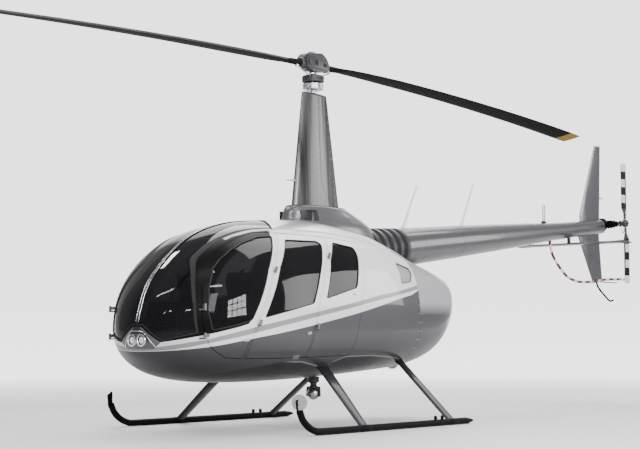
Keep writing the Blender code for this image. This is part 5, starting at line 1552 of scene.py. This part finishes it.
# belly camera ball on the cargo mount
ball = {"radius": 0.061, "height": 0.292, "tall": 0.060, "cut": 0.18, "top": 0.3525, "low": 0.2315}
ballParts = [turned("ballMount", (0, 0, 0), upright, [
    (0.0, 0.452), (0.055, 0.452), (0.056, 0.440), (0.056, 0.402), (0.034, 0.392), (0.030, 0.372),
    (0.040, 0.362), (0.040, 0.346), (0.0, 0.346)], 48)]
for side in sides.values():
    ballParts.append(bar("ballYoke", (side * 0.066, 0, 0.352), (side * 0.072, 0, 0.262), 0.034, 0.012, 0.003,
                         (0, 1, 0)))
ballParts.append(bar("ballBridge", (-0.070, 0, 0.350), (0.070, 0, 0.350), 0.038, 0.016))
finished(fuse("bellyMount", ballParts), "airframe", darkMetal, "cargo_hook")
ballProfile = [(ball["radius"] * math.sin(turn), ball["height"] - ball["tall"] * math.cos(turn))
               for turn in np.linspace(ball["cut"], math.pi - ball["cut"], 15)]
ballProfile = [(0.0, ball["low"])] + ballProfile + [(0.0, ball["top"])]
finished(turned("bellyBall", (0, 0, 0), upright, ballProfile, 48), "airframe", bareMetal)
lensTube = turned("bellyLens", (0, -0.052, 0.288), (0.3, -1.0, 0.0), [
    (0.0, -0.01), (0.022, -0.01), (0.022, 0.014), (0.018, 0.016), (0.017, 0.010), (0.0, 0.011)], 32)
finished(lensTube, "airframe", lensGlass)

# whip aerials, foot and tip
whips = {"front": ((0.0, 1.483, 1.966), (0.0, 1.750, 2.442)),
         "rear": ((0.0, 2.588, 2.051), (0.0, 2.844, 2.545))}
for place, (foot, tip) in whips.items():
    foot, tip = Vector(foot), Vector(tip)
    whip = tube(f"aerial{place.title()}", [foot, foot.lerp(tip, 0.08), foot.lerp(tip, 0.10), tip],
                [0.019, 0.018, 0.015, 0.010], 16)
    finished(whip, "airframe", aerialPaint, f"whip_aerial_{place}")

# toe brackets, one with a round mirror
bracketLine = [(-1.545, 0.165), (-1.585, 0.255), (-1.590, 0.300), (-1.560, 0.322), (-1.560, 0.200)]
for sideName, side in sides.items():
    bracketPath = [(side * gear["tread"], y, z) for y, z in bracketLine]
    finished(tube(f"toeBracket{sideName.title()}", bracketPath, 0.006, 12, 4), "airframe", skidPaint)
mirror = turned("toeMirror", (gear["tread"] + 0.012, -1.585, 0.285), (-0.60, 0.80, 0.0), [
    (0.0, -0.012), (0.014, -0.011), (0.016, -0.004), (0.060, -0.004), (0.065, 0.000), (0.066, 0.005),
    (0.062, 0.010), (0.0, 0.010)], 48)
finished(mirror, "airframe", mirrorPaint)
print("fittings made")

# seats: the cushions swell in a cloth simulation, then get their sewn channels and piping
cushion = {"voxel": 0.0076, "pressure": 4.0, "cap": 0.024, "frames": 20, "edge": 0.010, "rise": 0.022,
           "channels": (-0.56, -0.19, 0.19, 0.56), "crossing": 0.62, "seam": 0.0065, "depth": 0.0075,
           "cordIn": 0.020, "cord": 0.0038, "cordCorner": 0.045}
# half lengths and half thicknesses of the pads, then each row's places across, half width, and the y, z and
# lean in degrees of its cushion and back
padSizes = {"Cushion": (0.205, 0.046), "Back": (0.262, 0.044)}
seatRows = {
    "frontSeat": ((0.315, -0.315), 0.236,
                  {"Cushion": (-1.570, 0.878, 0.0), "Back": (-1.272, 1.160, 101.5)}),
    "rearSeat": ((0.396, 0.0, -0.396), 0.190,
                 {"Cushion": (-0.870, 0.878, 0.0), "Back": (-0.572, 1.160, 101.5)}),
}
seatNodes = {"frontSeatCushion1": ["front_seat_port"], "frontSeatCushion2": ["front_seat_starboard"],
             "rearSeatCushion1": ["rear_seat"]}


def swell(obj):
    modifier = obj.modifiers.new("remesh", "REMESH")
    modifier.mode = "VOXEL"
    modifier.voxel_size = cushion["voxel"] * 1.0
    applyAll(obj)
    start = readMesh(obj.data.vertices, "co")
    modifier = obj.modifiers.new("swell", "CLOTH")
    settings = modifier.settings
    settings.use_pressure = True
    settings.uniform_pressure_force = cushion["pressure"]
    settings.effector_weights.gravity = 0.0
    modifier.point_cache.frame_start, modifier.point_cache.frame_end = 1, cushion["frames"]
    for number in range(1, cushion["frames"] + 1):
        bpy.context.scene.frame_set(number)
    applyAll(obj)
    bpy.context.scene.frame_set(1)
    step = readMesh(obj.data.vertices, "co") - start
    length = np.linalg.norm(step, axis=1)[:, None]
    step *= np.minimum(1.0, cushion["cap"] / np.maximum(length, 1e-6))
    obj.data.vertices.foreach_set("co", (start + step).ravel())
    modifier = obj.modifiers.new("finer", "SUBSURF")
    modifier.levels = modifier.render_levels = 1
    return applyAll(obj)


def sewn(obj, width, length):
    # channels pressed into the upper face, one crossing seam and a dip at each crossing
    mesh = obj.data
    spots, normals = readMesh(mesh.vertices, "co"), readMesh(mesh.vertices, "normal")
    upper = np.clip(normals[:, 2] * 2.0 - 0.4, 0, 1)
    dip = sum(np.exp(-((spots[:, 0] - width * share) / cushion["seam"]) ** 2)
              for share in cushion["channels"])
    dip = np.maximum(dip, np.exp(-((spots[:, 1] + length * cushion["crossing"]) / cushion["seam"]) ** 2))
    spots[:, 2] -= dip * upper * cushion["depth"]
    mesh.vertices.foreach_set("co", spots.ravel())
    mesh.update()
    return obj


def pad(name, width, length, thick):
    # a pad lying flat about its own middle, x across and y along
    start = thick - cushion["rise"]
    obj = block(name, (-width, -length, -start), (width, length, start), cushion["edge"], 3)
    sewn(swell(obj), width, length)
    only(obj)
    bpy.ops.object.shade_smooth()
    return obj


def piping(name, obj, width, length):
    # a round cord lying on the pad round its upper edge
    tree = BVHTree.FromPolygons([v.co for v in obj.data.vertices],
                                [list(face.vertices) for face in obj.data.polygons])
    wide, long = width - cushion["cordIn"], length - cushion["cordIn"]
    edge = [(-wide, -long), (wide, -long), (wide, long), (-wide, long)]
    corner = roundCorners(edge, cushion["cordCorner"], 5)
    closed = []
    for i, (x, y) in enumerate(corner):
        nextX, nextY = corner[(i + 1) % len(corner)]
        closed += [Vector((x + (nextX - x) * step / 6, y + (nextY - y) * step / 6, 0.0)) for step in range(6)]
    rings = []
    for i, spot in enumerate(closed):
        above = Vector((spot.x, spot.y, 0.5))
        near = Vector((spot.x, spot.y, 0.02))
        hit = tree.ray_cast(above, Vector((0, 0, -1)))[0] or tree.find_nearest(near)[0]
        middle = hit + Vector((0, 0, 0.0006))
        ahead = (closed[(i + 1) % len(closed)] - spot).normalized()
        out = Vector((ahead.y, -ahead.x, 0))
        rings.append([middle + roundStep(out, Vector(upright), 8, k) * cushion["cord"] for k in range(8)])
    return loft(name, rings + rings[:1])


for seatName, (places, width, rests) in seatRows.items():
    seeds = {kind: pad("padSeed", width, *padSizes[kind]) for kind in padSizes}
    cords = {kind: piping("cordSeed", seeds[kind], width, padSizes[kind][0]) for kind in padSizes}
    for number, x in enumerate(places):
        for kind, (y, z, lean) in rests.items():
            rest = Matrix.Translation((x, y, z)) @ Matrix.Rotation(math.radians(lean), 4, "X")
            piece = copyOf(seeds[kind], f"{seatName}{kind}{number + 1}")
            piece.data.transform(rest)
            finished(piece, "airframe", padCloth, *seatNodes.get(piece.name, ()))
            trim = copyOf(cords[kind], f"{seatName}{kind}Piping{number + 1}")
            trim.data.transform(rest)
            finished(trim, "airframe", beltWebbing)
    discard(*seeds.values(), *cords.values())
print("seats made")


def strap(name, path, width, thick=0.0022):
    # a flat belt along a path, its width across the cabin
    points = curveThrough(path, 8)
    rings = []
    for point, ahead in zip(points, headings(points)):
        side = (Vector((1, 0, 0)) - ahead * ahead.x).normalized()
        out = side.cross(ahead)
        rings.append([point + side * width / 2 * a + out * thick / 2 * b
                      for a, b in ((-1, -1), (1, -1), (1, 1), (-1, 1))])
    return loft(name, rings)


# shoulder belts, as (share of the offset, y, z), with a lap belt and buckle at every seat
shoulderLine = [(0.6, -1.205, 1.432), (1.0, -1.300, 1.400), (1.1, -1.355, 1.150), (0.7, -1.420, 0.985),
                (0.0, -1.475, 0.945)]


def lapBelts(x, y, reach, width, buckle):
    # two straps from the hips to the middle, and a buckle at its own (y, z)
    parts = [strap("lapBelt", [(x + across, y + 0.095, 0.930), (x + across * 0.6, y + 0.040, 0.940),
                               (x, y, 0.946)], width) for across in (-reach, reach)]
    return parts + [bar("buckle", (x - 0.03, *buckle), (x + 0.03, *buckle), 0.05, 0.012, 0.003)]


for sideName, side in sides.items():
    x = side * 0.315
    belts = [strap("shoulderBelt", [(x + offset * share, y, z) for share, y, z in shoulderLine], 0.046)
             for offset in (-0.075, 0.075)]
    belts += lapBelts(x, -1.480, 0.20, 0.048, (-1.478, 0.952))
    finished(fuse(f"harness{sideName.title()}", belts), "airframe", beltWebbing)
for number, x in enumerate(seatRows["rearSeat"][0]):
    belts = lapBelts(x, -0.785, 0.17, 0.046, (-0.782, 0.951))
    finished(fuse(f"lapBelts{number + 1}", belts), "airframe", beltWebbing)

# sticks, levers and pedals; the stick's rod and grip as (y, z) in line with its seat
stickRod = ((-1.840, 0.605), (-1.900, 0.760), (-1.870, 0.900), (-1.845, 0.960))
stickGrip = ((-1.850, 0.945), (-1.838, 0.985), (-1.842, 1.040), (-1.852, 1.070))
for sideName, side in sides.items():
    x = side * 0.315
    stick = [tube("stickRod", [(x, y, z) for y, z in stickRod], 0.010, 14, 5),
             tube("stickGrip", [(x, y, z) for y, z in stickGrip], [0.013, 0.019, 0.018, 0.014], 18)]
    finished(fuse(f"cyclicStick{sideName.title()}", stick), "airframe", blackRubber)
    leverX = x - side * 0.285
    lever = [tube("leverRod", [(leverX, -1.33, 0.870), (leverX, -1.62, 0.955)], 0.011, 14),
             tube("leverGrip", [(leverX, -1.61, 0.952), (leverX, -1.74, 0.990)], 0.019, 18)]
    finished(fuse(f"collectiveLever{sideName.title()}", lever), "airframe", blackRubber)
    pedals = []
    for middle in (x - 0.085, x + 0.085):
        pedals.append(bar("pedal", (middle - 0.035, -2.045, 0.735), (middle + 0.035, -2.045, 0.735), 0.014,
                          0.10, 0.004))
        pedals.append(tube("pedalArm", [(middle, -2.045, 0.690), (middle, -2.020, 0.610)], 0.008, 12))
    finished(fuse(f"pedals{sideName.title()}", pedals), "airframe", darkMetal)
print("cabin controls made")

# CAD nodes whose shape is right take the finer finishes
keptNodes = {"tail_skid": skidPaint, "cabin_floor": floorCarpet, "aft_bulkhead": cabinTrim,
             "instrument_console": cabinTrim, "engine_block": darkMetal}
for nodeName, material in keptNodes.items():
    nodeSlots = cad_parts[nodeName].data.materials
    nodeSlots.clear()
    nodeSlots.append(material.material)

discard(skin, hollow, glassOuter, glassInner, wall, glassWall, sealOuter, sealWall, screenSpace,
        screenInner, slab, roofTool, roofSpace, housingTool, aftTool, cowlTool, quarterTool, *doorSpaces)

# floor and light
studio = {"wallAt": 70.0, "bend": 14.0, "reach": 90.0, "height": 80.0, "near": (0.640, 0.640, 0.645),
          "far": (2.62, 2.62, 2.63), "glowFrom": 5.0, "glowTo": 19.0, "world": (0.92, 0.94, 1.0),
          "worldStrength": 0.40, "cameraBack": 14.5, "coneEdge": 0.42, "coneSoft": 0.12, "coneStart": 6.0,
          "sideGlow": 0.22, "mottle": 1.03, "heightWeight": 6.0}
heading = math.radians(cameraSet["heading"])
away = Vector((-math.sin(heading), math.cos(heading), 0))
across = Vector((math.cos(heading), math.sin(heading), 0))
profile = [(-studio["reach"], 0.0), (studio["wallAt"], 0.0)]
for i in range(1, 17):
    turn = math.pi / 2 * i / 16
    profile.append((studio["wallAt"] + math.sin(turn) * studio["bend"],
                    (1 - math.cos(turn)) * studio["bend"]))
profile.append((studio["wallAt"] + studio["bend"], studio["height"]))
floorRings = [[away * along + across * span + Vector((0, 0, z))
               for span in (-studio["reach"], studio["reach"])] for along, z in profile]
backdrop = loft("studioFloor", floorRings, False)
backdropFinish = Finish("studioFloor", "grey_paint", Roughness=0.55, Emission_Strength=1.0)
x, y, z = backdropFinish.parts((0.0, 0.0, 0.0))
distance = backdropFinish.maths("SQRT", x * x + y * y + z * z * studio["heightWeight"])
glow = backdropFinish.clip((distance - studio["glowFrom"]) / (studio["glowTo"] - studio["glowFrom"]))
lateral = backdropFinish.maths("ABSOLUTE", x * across.x + y * across.y)
reach = backdropFinish.maths("MAXIMUM", x * away.x + y * away.y + studio["cameraBack"], 0.5)
cone = backdropFinish.clip((studio["coneEdge"] - lateral / reach) / studio["coneSoft"])
cone = cone * backdropFinish.clip((reach - 1.0) / studio["coneStart"])
bright = cone * (1.0 - studio["sideGlow"]) + studio["sideGlow"]
mottle = backdropFinish.noise(0.5, 2.0)
otherTone = tuple(c * studio["mottle"] for c in studio["near"])
nearTone = backdropFinish.blendColours(mottle, studio["near"], otherTone)
backdropFinish.colour(backdropFinish.blendColours(glow, nearTone, (0.0, 0.0, 0.0)))
backdropFinish.join(backdropFinish.blendColours(glow * bright, (0.0, 0.0, 0.0), studio["far"]),
                    backdropFinish.shader.inputs["Emission Color"])
backdrop.data.materials.append(backdropFinish.material)

world = bpy.data.worlds.new("studioWorld")
world.use_nodes = True
world.node_tree.nodes["Background"].inputs["Color"].default_value = (*studio["world"], 1.0)
world.node_tree.nodes["Background"].inputs["Strength"].default_value = studio["worldStrength"]
bpy.context.scene.world = world

# soft boxes: place, what they look at, width, height, watts
softBoxes = {
    "overheadBox": ((-1.0, 3.6, 9.0), (0.0, 1.4, 1.0), 9.0, 8.5, 1450.0),
    "keyBox": ((8.5, -9.5, 6.5), (0.0, 0.0, 1.2), 4.0, 5.0, 560.0),
    "aftBox": ((7.0, 10.0, 4.0), (0.0, 1.5, 1.2), 5.0, 4.0, 420.0),
}
# hall lights that the glass mirrors: the ends of each strip, its width and its watts
hallStrips = {
    "streakLight": ((-4.21, -2.04, 5.97), (-4.24, -0.73, 6.07), 0.32, 60.0),
    "stripOne": ((0.34, -4.57, 6.80), (2.10, -3.50, 6.90), 0.24, 60.0),
    "stripTwo": ((2.45, -5.32, 5.75), (4.48, -3.66, 5.55), 0.26, 70.0),
    "stripThree": ((-2.71, -5.95, 4.85), (-0.62, -5.55, 6.08), 0.22, 60.0),
    "spotOne": ((0.30, -7.66, 3.67), (0.75, -7.66, 3.70), 0.16, 12.0),
    "spotTwo": ((2.95, -7.10, 3.34), (3.40, -6.95, 3.36), 0.16, 12.0),
    "spotThree": ((-0.80, -7.80, 3.50), (-0.40, -7.80, 3.52), 0.14, 10.0),
}
# the panes of a hall window, to port
hallWindow = {"middle": (8.1, -2.0, 3.2), "size": (3.6, 2.7), "panes": (4, 3), "bar": 0.15, "watts": 52.0}


def areaLight(name, turn, spot, width, height, watts):
    light = bpy.data.lights.new(name, "AREA")
    light.shape = "RECTANGLE"
    light.size = width
    light.size_y = height
    light.energy = watts
    holder = bpy.data.objects.new(name, light)
    bpy.context.scene.collection.objects.link(holder)
    holder.matrix_world = Matrix.Translation(spot) @ turn.to_4x4()


for name, (spot, target, width, height, watts) in softBoxes.items():
    turn = (Vector(target) - Vector(spot)).to_track_quat("-Z", "Y").to_matrix()
    areaLight(name, turn, Vector(spot), width, height, watts)
for name, (start, end, width, watts) in hallStrips.items():
    start, end = Vector(start), Vector(end)
    middle = (start + end) / 2
    along = (end - start).normalized()
    back = (middle - Vector((0.3, -2.1 + mastY, 1.25))).normalized()
    back = (back - along * back.dot(along)).normalized()
    turn = Matrix((along, back.cross(along), back)).transposed()
    areaLight(name, turn, middle + Vector((0, mastY, 0)), (end - start).length, width, watts)
columns, rowCount = hallWindow["panes"]
paneWidth, paneHeight = hallWindow["size"][0] / columns, hallWindow["size"][1] / rowCount
paneTurn = Vector((-1, 0, -0.15)).to_track_quat("-Z", "Z").to_matrix()
for i in range(columns):
    for k in range(rowCount):
        spot = Vector((0, mastY + (i + 0.5) * paneWidth - hallWindow["size"][0] / 2,
                       (k + 0.5) * paneHeight - hallWindow["size"][1] / 2))
        areaLight(f"windowPane{i}{k}", paneTurn, Vector(hallWindow["middle"]) + spot,
                  paneWidth - hallWindow["bar"], paneHeight - hallWindow["bar"], hallWindow["watts"])
print("studio lit")
